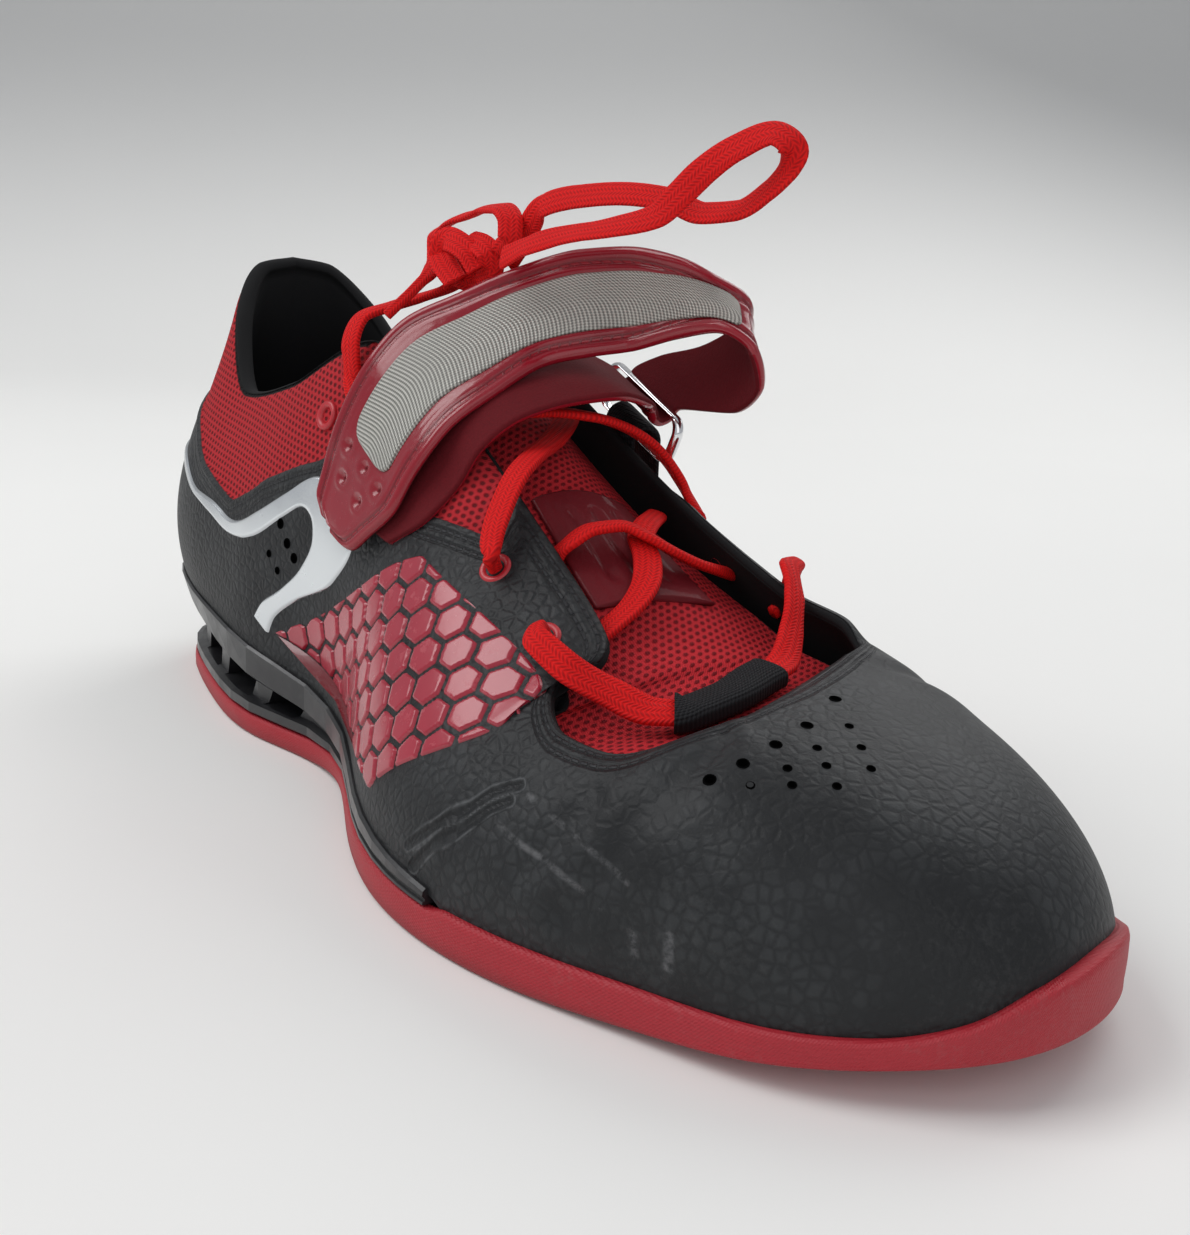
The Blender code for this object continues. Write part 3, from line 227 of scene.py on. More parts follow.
# silver band round the heel, row by row from its hooked tip: its outer and inner line as angle and
# share of the height on the upper; the far side mirrors it
trimColumns = ("angle_out", "share_out", "angle_in", "share_in")
trimRows = (
    (68.5, 0.155, 65.5, 0.20), (69.0, 0.20, 66.5, 0.25), (72.0, 0.285, 69.0, 0.305),
    (77.9, 0.39, 71.2, 0.380), (80.2, 0.50, 72.0, 0.452), (77.0, 0.60, 70.9, 0.520),
    (70.5, 0.640, 69.2, 0.540), (66.5, 0.600, 66.8, 0.505), (62.5, 0.555, 63.0, 0.448),
    (57.0, 0.50, 57.0, 0.425), (49.5, 0.53, 50.5, 0.455), (37.5, 0.525, 40.0, 0.490),
    (20.0, 0.505, 20.0, 0.475), (0.0, 0.50, 0.0, 0.470),
)
# raised field on each side of the waist: its rear and front line
patchColumns = ("angle_a", "share_a", "angle_b", "share_b")
patchTables = {
    "lateral": ((68.8, 0.165, 100.0, 0.13), (81.0, 0.385, 107.0, 0.40), (91.5, 0.69, 114.8, 0.80)),
    "medial": ((68.8, 0.165, 100.0, 0.13), (80.0, 0.34, 104.0, 0.34), (90.0, 0.55, 110.0, 0.58)),
}

# strap, row by row from its round tip on the lateral side up over the foot, forward round the fold,
# down to the ring, round its bar and back under to the lateral side: rear and front edge
strapColumns = ("rear_x", "rear_y", "rear_z", "front_x", "front_y", "front_z")
strapRows = (
    (-29.0, -35.6, 61.5, -21.0, -36.0, 57.2), (-33.0, -34.6, 66.0, -14.0, -36.4, 55.8),
    (-32.8, -33.0, 72.0, -8.0, -34.8, 60.0), (-31.0, -31.6, 79.7, -1.0, -32.4, 66.5),
    (-27.0, -27.2, 92.6, 1.0, -29.4, 73.6), (-23.0, -19.2, 103.6, 4.0, -22.4, 84.0),
    (-16.0, -10.0, 109.6, 5.5, -12.5, 90.6), (-8.0, -2.0, 115.0, 6.0, -2.0, 96.0),
    (2.0, 9.0, 120.0, 11.0, 7.0, 98.5), (10.6, 16.0, 121.0, 15.0, 14.0, 99.8),
    (21.6, 20.0, 119.5, 24.0, 18.0, 103.0), (29.0, 23.5, 116.6, 36.5, 19.5, 105.5),
    (33.5, 28.5, 112.5, 44.5, 22.5, 102.0), (29.0, 32.5, 107.0, 43.0, 26.5, 95.0),
    (15.0, 33.8, 100.5, 33.0, 28.6, 88.6), (2.0, 32.4, 97.0, 22.5, 29.4, 87.6),
    (-4.0, 30.2, 93.7, 14.5, 28.6, 86.8), (-5.2, 29.2, 91.4, 13.2, 27.6, 84.5),
    (-5.8, 26.8, 90.4, 12.6, 25.2, 83.5), (-5.4, 24.5, 91.4, 13.0, 22.9, 84.5),
    (-5.0, 23.2, 93.3, 13.6, 21.8, 86.4), (-11.0, 17.0, 97.0, 18.4, 17.0, 88.4),
    (-11.5, 9.0, 98.2, 20.5, 8.5, 90.4), (-11.5, 1.0, 98.0, 17.0, 0.0, 89.2),
    (-13.0, -8.0, 96.6, 13.6, -11.0, 85.8), (-15.0, -16.6, 93.4, 10.6, -18.4, 79.2),
    (-17.5, -22.8, 84.5, 8.0, -21.6, 72.0), (-20.0, -27.4, 74.0, 5.7, -27.0, 65.3),
    (-26.0, -31.0, 63.0, -3.2, -31.4, 58.6),
)

# laces through the eyelets: middle line and half width from end to end
laceColumns = ("x", "y", "z", "half_wide")
laceTables = {
    "lace_bar_front": (
        (47.8, -28.0, 53.2, 1.8), (51.4, -30.8, 52.4, 2.6), (57.6, -29.4, 49.6, 2.9),
        (64.0, -23.0, 45.0, 3.0), (70.5, -17.9, 42.6, 3.1), (74.0, -12.6, 42.8, 3.2),
        (73.8, -4.7, 44.0, 3.2), (71.2, 4.5, 45.3, 3.2), (68.8, 13.0, 46.6, 3.0),
        (64.0, 19.6, 51.0, 2.7), (59.2, 24.2, 56.6, 2.5), (52.6, 28.6, 60.6, 2.3),
        (50.0, 32.8, 60.0, 1.8)),
    "lace_cross_low": (
        (48.2, -17.0, 48.6, 2.4), (47.7, -14.0, 50.2, 2.7), (47.3, -11.2, 51.7, 2.9),
        (46.4, -6.2, 54.3, 2.9), (43.8, -0.8, 57.9, 2.9), (39.2, 2.8, 61.4, 2.9),
        (34.0, 5.0, 64.0, 2.8), (27.6, 11.5, 66.0, 2.6), (22.0, 18.0, 66.0, 2.3)),
    "lace_cross_high": (
        (36.5, 27.0, 55.6, 2.0), (38.6, 21.0, 57.6, 2.3), (39.7, 15.8, 59.4, 2.5),
        (38.5, 9.2, 62.6, 2.6), (36.5, 4.8, 65.3, 2.6), (33.4, 0.2, 67.3, 2.6),
        (31.9, -5.5, 66.8, 2.6), (31.0, -10.0, 64.4, 2.5), (29.9, -12.6, 61.6, 2.3),
        (30.3, -16.0, 58.6, 2.0)),
    "lace_rise": (
        (29.2, -27.2, 63.0, 1.8), (27.4, -26.0, 65.4, 2.5), (25.0, -23.0, 70.0, 2.9),
        (20.6, -15.6, 77.4, 2.9), (15.2, -8.8, 79.2, 2.9), (9.0, -1.4, 80.2, 2.9),
        (3.0, 5.4, 82.0, 2.8), (-2.0, 10.4, 83.6, 2.7)),
    "lace_over": (
        (24.4, 27.4, 66.0, 2.2), (20.4, 26.8, 70.4, 2.5), (18.0, 24.5, 75.3, 2.6),
        (16.0, 20.5, 80.0, 2.7), (14.3, 13.5, 84.1, 2.7), (13.2, 6.5, 86.1, 2.7),
        (8.9, 0.0, 86.8, 2.7), (5.4, -6.4, 86.4, 2.6)),
    "lace_top": (
        (-27.5, -27.5, 84.0, 2.2), (-33.4, -25.9, 90.0, 2.4), (-34.0, -26.2, 96.4, 2.6),
        (-34.8, -23.2, 102.8, 2.7), (-34.6, -15.6, 105.4, 2.7), (-32.8, -9.6, 107.4, 2.7),
        (-28.4, -5.6, 109.6, 2.6), (-23.4, -4.2, 112.0, 2.3)),
}

# cords of the free bow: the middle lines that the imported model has
cordTables = {
    "lace_loop_long": (
        (-14.0, 1.6, 116.3), (-8.5, 1.0, 120.4), (0.1, 0.6, 128.0), (8.2, 3.0, 130.0),
        (19.8, 7.0, 130.9), (28.7, 10.8, 130.2), (36.2, 13.4, 127.8), (43.5, 15.4, 128.4),
        (50.8, 16.8, 132.1), (55.3, 17.4, 136.3), (57.0, 16.4, 139.6), (53.7, 14.6, 141.9),
        (47.7, 11.2, 139.3), (42.6, 8.0, 135.1), (39.7, 5.0, 130.8), (35.6, 2.6, 126.7),
        (27.0, -1.0, 124.4), (14.0, -4.4, 122.2), (5.5, -6.4, 120.0), (-3.5, -6.4, 117.3)),
    "lace_loop_small": (
        (-26.9, -21.0, 103.9), (-26.8, -16.5, 107.8), (-27.6, -11.8, 111.6),
        (-30.6, -7.6, 114.4), (-34.2, -4.8, 117.6), (-34.6, -4.6, 120.8),
        (-31.4, -4.4, 123.2), (-26.4, -4.2, 124.8), (-22.0, -3.2, 125.8),
        (-16.9, -2.6, 127.1), (-11.1, -2.6, 127.3), (-6.7, -3.0, 125.0),
        (-5.6, -3.6, 121.5), (-9.4, -3.4, 118.1)),
    "lace_knot": (
        (-28.0, -4.9, 114.2), (-23.3, -4.4, 112.5), (-18.1, -3.4, 112.8),
        (-12.9, -3.6, 114.7), (-11.8, -4.6, 117.6), (-15.0, -5.2, 119.8),
        (-20.1, -5.2, 120.5)),
}

# eyelets: angle and share of the height on the upper
eyeletRows = (
    (105.0, 0.825), (98.0, 0.83), (68.5, 0.805),
    (254.5, 0.80), (262.0, 0.82), (269.0, 0.83), (291.5, 0.82),
)

# tab round the ring's lower bar: its path seen from the front
tabColumns = ("side", "up")
tabRows = (
    (29.6, 60.0), (28.9, 66.0), (28.3, 72.0), (28.2, 77.0), (28.3, 80.9), (27.4, 83.1),
    (25.3, 84.0), (23.2, 83.1), (22.4, 81.4), (22.4, 79.6),
)


def column(rows, columns, name):
    # One named column of a table.
    return np.array([row[columns.index(name)] for row in rows], float)


def tableAt(rows, columns, at, keys=None):
    # Every column of a table, in order, at places counted in rows or in the keys.
    keys = np.arange(len(rows)) if keys is None else keys
    return {name: gentle(keys, column(rows, columns, name), at) for name in columns}


def outlineY(angle):
    # y of the outline: periodic spline through minus the lateral and plus the medial half widths.
    keys = ([0.0] + [row[0] for row in outlineLateral] + [shoe["turn"] / 2]
            + [shoe["turn"] - row[0] for row in reversed(outlineMedial)])
    values = ([0.0] + [-row[1] for row in outlineLateral] + [shoe["toeOffset"]]
              + [row[1] for row in reversed(outlineMedial)])
    return even(keys, values, angle, shoe["turn"])


everyDegree = outlineY(np.arange(0, 360))
sideShift = -(everyDegree.min() + everyDegree.max()) / 2


def outline(angle, inset=0.0):
    # (-145 cos a, y(a)) moved inward by the inset, and the outward direction.
    angle = np.asarray(angle, float)
    spot = lambda at: np.stack([-shoe["length"] / 2 * np.cos(np.radians(at)), outlineY(at)], -1)
    along = unit(spot(angle + 0.5) - spot(angle - 0.5))
    outward = np.stack([along[..., 1], -along[..., 0]], -1)
    return spot(angle) - outward * np.asarray(inset, float)[..., None], outward


def ring(angle, inset, z):
    # Ring of the outline at an inset and height.
    flat = outline(angle, np.broadcast_to(inset, np.shape(angle)))[0]
    return np.concatenate([flat, np.broadcast_to(z, np.shape(angle))[..., None]], -1)


def middleLine(flat):
    # The shoe's middle line beside each point of an outline: y is the mean of the two sides.
    count = np.arange(len(flat))
    return np.stack([flat[:, 0], (flat[:, 1] + flat[-count % len(flat), 1]) / 2], -1)


def ground(x):
    # Sole's underside: 8.8 t^2 past 72 % of the length, and 1.6 sin^2 at the waist.
    share = np.asarray(x) / shoe["length"] + 0.5
    return (shoe["toeSpring"] * np.clip((share - 0.72) / 0.28, 0, 2) ** 2
            + shoe["archRise"] * np.sin(np.pi * np.clip((share - 0.36) / 0.18, 0, 1)) ** 2)


def level(name, angle):
    # Height of a named level of the sole at an angle.
    return gentle(column(buildRows, buildColumns, "angle"), column(buildRows, buildColumns, name),
                  np.asarray(angle, float) % shoe["turn"])


def upperValues(angle):
    # The upper's columns at an angle.
    return tableAt(upperRows, upperColumns, np.asarray(angle, float) % shoe["turn"],
                   column(upperRows, upperColumns, "angle"))


def upperPoint(angle, share):
    # Bezier from the foot to the top edge: F(1-t)^3 + 3L t(1-t)^2 + 3H t^2(1-t) + E t^3.
    angle, share = np.broadcast_arrays(np.asarray(angle, float), np.asarray(share, float))
    single, inverse = np.unique(np.round(angle, 6), return_inverse=True)
    inverse = inverse.reshape(angle.shape)
    at = upperValues(single)
    flat, outward = outline(single, at["inset"])
    foot = np.concatenate([flat, level("seat", single)[..., None] + shoe["clearance"]], -1)
    edge = np.stack([at["edge_x"], at["edge_y"], at["edge_z"]], -1)
    out = np.concatenate([outward, np.zeros_like(outward[..., :1])], -1)
    up = np.array([0.0, 0.0, 1.0])
    low = foot + out * at["out_low"][..., None] + up * at["up_low"][..., None]
    high = edge + out * at["out_high"][..., None] - up * at["down_high"][..., None]
    t = share[..., None]
    return (foot[inverse] * (1 - t) ** 3 + 3 * low[inverse] * t * (1 - t) ** 2
            + 3 * high[inverse] * t ** 2 * (1 - t) + edge[inverse] * t ** 3)


def upperNormal(angle, share):
    # Outward normal: (outline tangent) x (wall's curve).
    angle, share = np.broadcast_arrays(np.asarray(angle, float), np.asarray(share, float))
    across = upperPoint(angle, share + 0.004) - upperPoint(angle, share - 0.004)
    outward = outline(angle)[1]
    along = np.stack([-outward[..., 1], outward[..., 0], np.zeros(angle.shape)], -1)
    return unit(np.cross(along, across))


def upperOffset(angle, share, depth):
    # P + n d.
    return upperPoint(angle, share) + upperNormal(angle, share) * np.asarray(depth, float)[..., None]


def upperLevel(angle, z, depth):
    # Point of the upper's outer face at a height, moved outward.
    shares = np.linspace(0, 0.6, 49)
    heights = upperPoint(np.asarray(angle)[:, None], shares)[..., 2]
    share = np.array([np.interp(a, row, shares) for a, row in zip(z, heights)])
    moved = upperOffset(angle, np.maximum(share, 0.004), depth)
    moved[:, 2] = z
    return moved


def between(rows, columns, at, across, mirrored=False):
    # Angle and share of a grid between the two lines of a table.
    first, low, second, high = (line[:, None] for line in tableAt(rows, columns, at).values())
    t = np.asarray(across)[None]
    angle, share = first + (second - first) * t, low + (high - low) * t
    return (shoe["turn"] - angle if mirrored else angle), share


def faceNormal(face):
    # Unit normal of a grid: (step along the rows) x (step across them).
    return unit(np.cross(np.gradient(face, axis=0), np.gradient(face, axis=1)))


def strapFace(at, across):
    # R + (F - R) s on the strap, and the direction through the band.
    values = list(tableAt(strapRows, strapColumns, at).values())
    rear, front = np.stack(values[:3], -1)[:, None], np.stack(values[3:], -1)[:, None]
    face = rear + (front - rear) * np.asarray(across)[None, :, None]
    return face, faceNormal(face)


def tongueFace(at, across):
    # S(1-t) + I t + arch (4t(1-t))^1.5 up, and the direction down through the tongue.
    value = tableAt(tongueRows, tongueColumns, at)
    inside = -(shoe["wall"] + value["gap"])
    side = upperOffset(value["side"], value["side_share"], inside)[:, None]
    inner = upperOffset(value["inner"], value["inner_share"], inside)[:, None]
    narrow = value["narrow"][:, None, None]
    t = narrow + np.asarray(across)[None, :, None] * (1 - 2 * narrow)
    face = side * (1 - t) + inner * t
    hump = np.maximum(4 * t[..., 0] * (1 - t[..., 0]), 0) ** 1.5
    face[..., 2] += value["arch"][:, None] * hump + value["lift"][:, None]
    face[..., 0] += value["forward"][:, None] * hump - value["back"][:, None]
    return face, faceNormal(face)


# meshes
def measured(points, axis):
    # Running length along one direction of a grid.
    step = np.linalg.norm(np.diff(points, axis=axis), axis=-1)
    return np.concatenate([np.zeros_like(np.take(step, [0], axis)), np.cumsum(step, axis)], axis)


def rowFrame(points):
    # Pattern millimetres as metres of the row frame.
    return (points + np.array([0, sideShift, 0])) / 1000


def grid(name, points, material, wrapRows=False, wrapCols=False, uv=None, values=None, flip=False):
    # Surface over a grid of points in pattern millimetres, with uv in millimetres and values.
    stack = points[None] if points.ndim == 3 else points
    count = stack[..., 0].size
    index = np.arange(count).reshape(stack.shape[:3])
    if wrapRows:
        index = np.concatenate([index, index[:, :1]], 1)
    if wrapCols:
        index = np.concatenate([index, index[:, :, :1]], 2)
    corners = [index[:, :-1, :-1], index[:, 1:, :-1], index[:, 1:, 1:], index[:, :-1, 1:]]
    quads = np.stack(corners[::-1] if flip else corners, -1).reshape(-1, 4)
    mesh = bpy.data.meshes.new(name)
    mesh.vertices.add(count)
    mesh.vertices.foreach_set("co", rowFrame(points).reshape(-1).astype(np.float32))
    mesh.loops.add(quads.size)
    mesh.loops.foreach_set("vertex_index", quads.reshape(-1).astype(np.int32))
    mesh.polygons.add(len(quads))
    mesh.polygons.foreach_set("loop_start", np.arange(0, quads.size, 4, dtype=np.int32))
    mesh.polygons.foreach_set("use_smooth", np.ones(len(quads), bool))
    mesh.update(calc_edges=True)
    if uv is not None:
        layer = mesh.uv_layers.new(name="cloth")
        layer.data.foreach_set("uv", uv.reshape(-1, 2)[quads.reshape(-1)].reshape(-1).astype(np.float32))
    for key, value in (values or {}).items():
        made = mesh.attributes.new(key, "FLOAT", "POINT")
        every = np.broadcast_to(value, stack.shape[:-1])
        made.data.foreach_set("value", every.reshape(-1).astype(np.float32))
    mesh.materials.append(material)
    item = bpy.data.objects.new(name, mesh)
    bpy.context.scene.collection.objects.link(item)
    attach(item, "root")
    return item


def capped(points):
    # The end rings of a tube drawn in to their middles.
    first, last = (np.broadcast_to(row.mean(1, keepdims=True), row.shape)
                   for row in (points[:1], points[-1:]))
    return np.concatenate([first, points, last], 0)


def folded(value):
    # Values of a section's upper side, and the same ones on the way back under it.
    return np.concatenate([value, value[:, ::-1][:, 1:-1]], 1)


def ended(value):
    # The first and the last row once more, for the two caps.
    return np.concatenate([value[:1], value, value[-1:]])


def lineDistance(spot, line):
    # Distance of points to a polyline: min over segments of |p - (a + clip(t) (b - a))|.
    best = np.full(spot.shape[:-1], 1e9)
    for a, b in zip(line[:-1], line[1:]):
        step = b - a
        t = np.clip(((spot - a) @ step) / max(step @ step, 1e-9), 0, 1)
        best = np.minimum(best, np.linalg.norm(spot - (a + t[..., None] * step), axis=-1))
    return best


def inRegion(spot, line):
    # Even-odd rule: counts the edges crossed by a ray along +u.
    inside = np.zeros(spot.shape[:-1], bool)
    for a, b in zip(line, np.roll(line, -1, 0)):
        crosses = (a[1] > spot[..., 1]) != (b[1] > spot[..., 1])
        at = a[0] + (spot[..., 1] - a[1]) * (b[0] - a[0]) / (b[1] - a[1] + 1e-12)
        inside ^= crosses & (spot[..., 0] < at)
    return inside


def regionDistance(spot, line):
    # Distance to the region's edge, plus inside and minus outside.
    distance = lineDistance(spot, np.concatenate([line, line[:1]]))
    return np.where(inRegion(spot, line), distance, -distance)


print("functions done")


# materials
class Nodes:
    # Short names for the nodes of one tree.

    def __init__(self, tree):
        self.tree = tree

    def add(self, kind, *inputs, **settings):
        # Node of a kind: settings first, then inputs in order; None leaves an input alone.
        node = self.tree.nodes.new("ShaderNode" + kind)
        for key, value in settings.items():
            setattr(node, key, value)
        for socket, value in zip(node.inputs, inputs):
            self.put(socket, value)
        return node

    def put(self, socket, value):
        # Link a socket, or set its constant.
        if value is None:
            return
        if isinstance(value, bpy.types.NodeSocket):
            self.tree.links.new(value, socket)
        else:
            socket.default_value = value

    def math(self, operation, a, b=None):
        # Arithmetic on one or two values.
        return self.add("Math", a, b, operation=operation).outputs[0]

    def times(self, a, b):
        # a b.
        return self.math("MULTIPLY", a, b)

    def plus(self, a, b):
        # a + b.
        return self.math("ADD", a, b)

    def minus(self, a, b):
        # a - b.
        return self.math("SUBTRACT", a, b)

    def over(self, a, b):
        # a / b.
        return self.math("DIVIDE", a, b)

    def most(self, a, b):
        # max(a, b).
        return self.math("MAXIMUM", a, b)

    def size(self, a):
        # |a|.
        return self.math("ABSOLUTE", a)

    def fract(self, a):
        # a - floor(a).
        return self.math("FRACT", a)

    def sine(self, a):
        # sin a.
        return self.math("SINE", a)

    def cosine(self, a):
        # cos a.
        return self.math("COSINE", a)

    def ramp(self, value, low, high, start=0.0, end=1.0):
        # Smooth change from start to end as a value goes from low to high.
        return self.add("MapRange", value, low, high, start, end,
                        interpolation_type="SMOOTHSTEP").outputs[0]

    def mix(self, share, a, b):
        # Colour a turning into b.
        node = self.add("Mix", data_type="RGBA")
        for number, value in ((0, share), (6, a), (7, b)):
            if isinstance(value, tuple) and len(value) == 3:
                value = value + (1.0,)
            self.put(node.inputs[number], value)
        return node.outputs[2]

    def tint(self, color, mask, strength, toward):
        # Colour turned toward another by mask times strength.
        return self.mix(self.times(mask, strength), color, toward)

    def lift(self, height, mask, amount):
        # height + mask amount.
        return self.plus(height, self.times(mask, amount))

    def noise(self, vector, scale, detail=3.0, rough=0.5):
        # Noise value.
        return self.add("TexNoise", vector, None, scale, detail, rough).outputs[0]

    def split(self, vector):
        # x, y, z of a vector.
        return self.add("SeparateXYZ", vector).outputs

    def value(self, name):
        # A value stored on the mesh.
        return self.add("Attribute", attribute_name=name).outputs["Fac"]

    def bump(self, height, strength, distance, normal=None):
        # Normal bent by a height in metres.
        node = self.add("Bump")
        for key, value in (("Strength", strength), ("Distance", distance), ("Height", height),
                           ("Normal", normal)):
            self.put(node.inputs[key], value)
        return node.outputs[0]


def group(name, inputs, outputs, build):
    # Shader node group with a named interface, filled by a function.
    tree = bpy.data.node_groups.new(name, "ShaderNodeTree")
    for key, kind in inputs:
        tree.interface.new_socket(key, in_out="INPUT", socket_type="NodeSocket" + kind)
    for key, kind in outputs:
        tree.interface.new_socket(key, in_out="OUTPUT", socket_type="NodeSocket" + kind)
    source, sink = tree.nodes.new("NodeGroupInput"), tree.nodes.new("NodeGroupOutput")
    nodesOf = Nodes(tree)
    for socket, value in zip(sink.inputs, build(nodesOf, source.outputs)):
        nodesOf.put(socket, value)
    return tree


def knitHeight(n, given):
    # Knit: cells in offset rows; hole where the distance from a cell's middle is small.
    x, y = n.split(given[0])[:2]
    row = n.over(y, given[2])
    shift = n.times(n.math("MODULO", n.size(n.math("FLOOR", row)), 2.0), 0.5)
    along = n.plus(n.over(x, given[1]), shift)
    fromX = n.minus(n.fract(along), 0.5)
    fromY = n.minus(n.fract(row), 0.5)
    far = n.math("SQRT", n.plus(n.times(fromX, fromX), n.times(fromY, fromY)))
    height = n.ramp(far, 0.16, 0.42)
    thread = n.times(n.sine(n.times(along, 25.13)), 0.12)
    return n.plus(height, thread), n.ramp(far, 0.12, 0.30, 1.0, 0.0)


def grainHeight(n, given):
    # Pebbled grain: cells with sunk borders, and fine noise.
    big = n.add("TexVoronoi", given[0], None, given[1], feature="DISTANCE_TO_EDGE").outputs[0]
    pebble = n.ramp(big, 0.0, 0.28)
    fine = n.noise(given[0], n.times(given[1], 4.0), 4.0, 0.6)
    return (n.plus(n.times(pebble, 0.7), n.times(fine, 0.5)),)


def stitchHeight(n, given):
    # Stitches in a row: a capsule where |distance| is small and the phase along is below 0.72.
    off = n.size(given[0])
    phase = n.size(n.minus(n.fract(n.over(given[1], given[2])), 0.5))
    body = n.ramp(off, 0.18, 0.42, 1.0, 0.0)
    return n.times(body, n.ramp(phase, 0.34, 0.42, 1.0, 0.0)), n.ramp(off, 0.4, 1.0, 1.0, 0.0)


def dustMask(n, given):
    # Dust: coarse noise times fine noise, kept above a threshold.
    coarse = n.noise(given[0], 60.0, 4.0, 0.65)
    fine = n.noise(given[0], 900.0, 2.0, 0.7)
    return (n.ramp(n.times(coarse, fine), 0.27, 0.45),)


knit = group("knit", (("Vector", "Vector"), ("Wide", "Float"), ("Tall", "Float")),
             (("Height", "Float"), ("Hole", "Float")), knitHeight)
grain = group("grain", (("Vector", "Vector"), ("Scale", "Float")), (("Height", "Float"),), grainHeight)
stitch = group("stitch", (("Distance", "Float"), ("Along", "Float"), ("Pitch", "Float")),
               (("Height", "Float"), ("Groove", "Float")), stitchHeight)
dust = group("dust", (("Vector", "Vector"),), (("Mask", "Float"),), dustMask)


def use(n, tree, *inputs):
    # Outputs of a node group with inputs in order.
    node = n.add("Group", node_tree=tree)
    for socket, value in zip(node.inputs, inputs):
        n.put(socket, value)
    return node.outputs


def surface(name, build):
    # Principled material: build(n, coordinates, uv) gives a dictionary of its inputs.
    made = bpy.data.materials.new(name)
    made.use_nodes = True
    n = Nodes(made.node_tree)
    shader = made.node_tree.nodes["Principled BSDF"]
    place = n.add("TexCoord").outputs["Object"]
    cloth = n.add("UVMap", uv_map="cloth").outputs[0]
    for key, value in build(n, place, cloth).items():
        if isinstance(value, tuple) and len(value) == 3 and key != "Subsurface Radius":
            value = value + (1.0,)
        n.put(shader.inputs[key], value)
    return made


print("nodes done")

# upper: black leather over red knit, black lining, padded collar
upperPiece = dict(angles=520, outer=96, rim=10, inner=40, panelStep=0.7)
knitEdge = ((0.0, 0.665), (20.0, 0.668), (37.0, 0.65), (45.0, 0.63), (55.5, 0.56), (62.0, 0.665),
            (69.5, 0.675), (72.5, 0.72), (84.0, 0.71), (89.5, 0.77), (96.0, 0.88), (95.0, 0.94),
            (91.5, 1.06))
mouldLines = (((108.5, 0.105), (113.0, 0.305), (116.5, 0.495), (119.5, 0.615)),
              ((109.5, 0.05), (113.5, 0.26), (117.0, 0.445), (119.0, 0.53)))
scuffLines = (((121.0, 0.60), (127.5, 0.51), (133.0, 0.39)), ((118.5, 0.425), (125.0, 0.37), (130.0, 0.275)),
              ((133.0, 0.23), (133.0, 0.14)), ((137.0, 0.25), (136.0, 0.10)))
# creases at the ball: where each crosses the vamp (angle, share pairs) and its depth
creaseLines = ((((126.0, 0.20), (135.0, 0.62), (150.0, 0.90)), 0.55),
               (((122.0, 0.30), (129.0, 0.70)), 0.45),
               (((234.0, 0.20), (228.0, 0.60), (214.0, 0.88)), 0.5),
               (((238.0, 0.30), (233.0, 0.65)), 0.4))


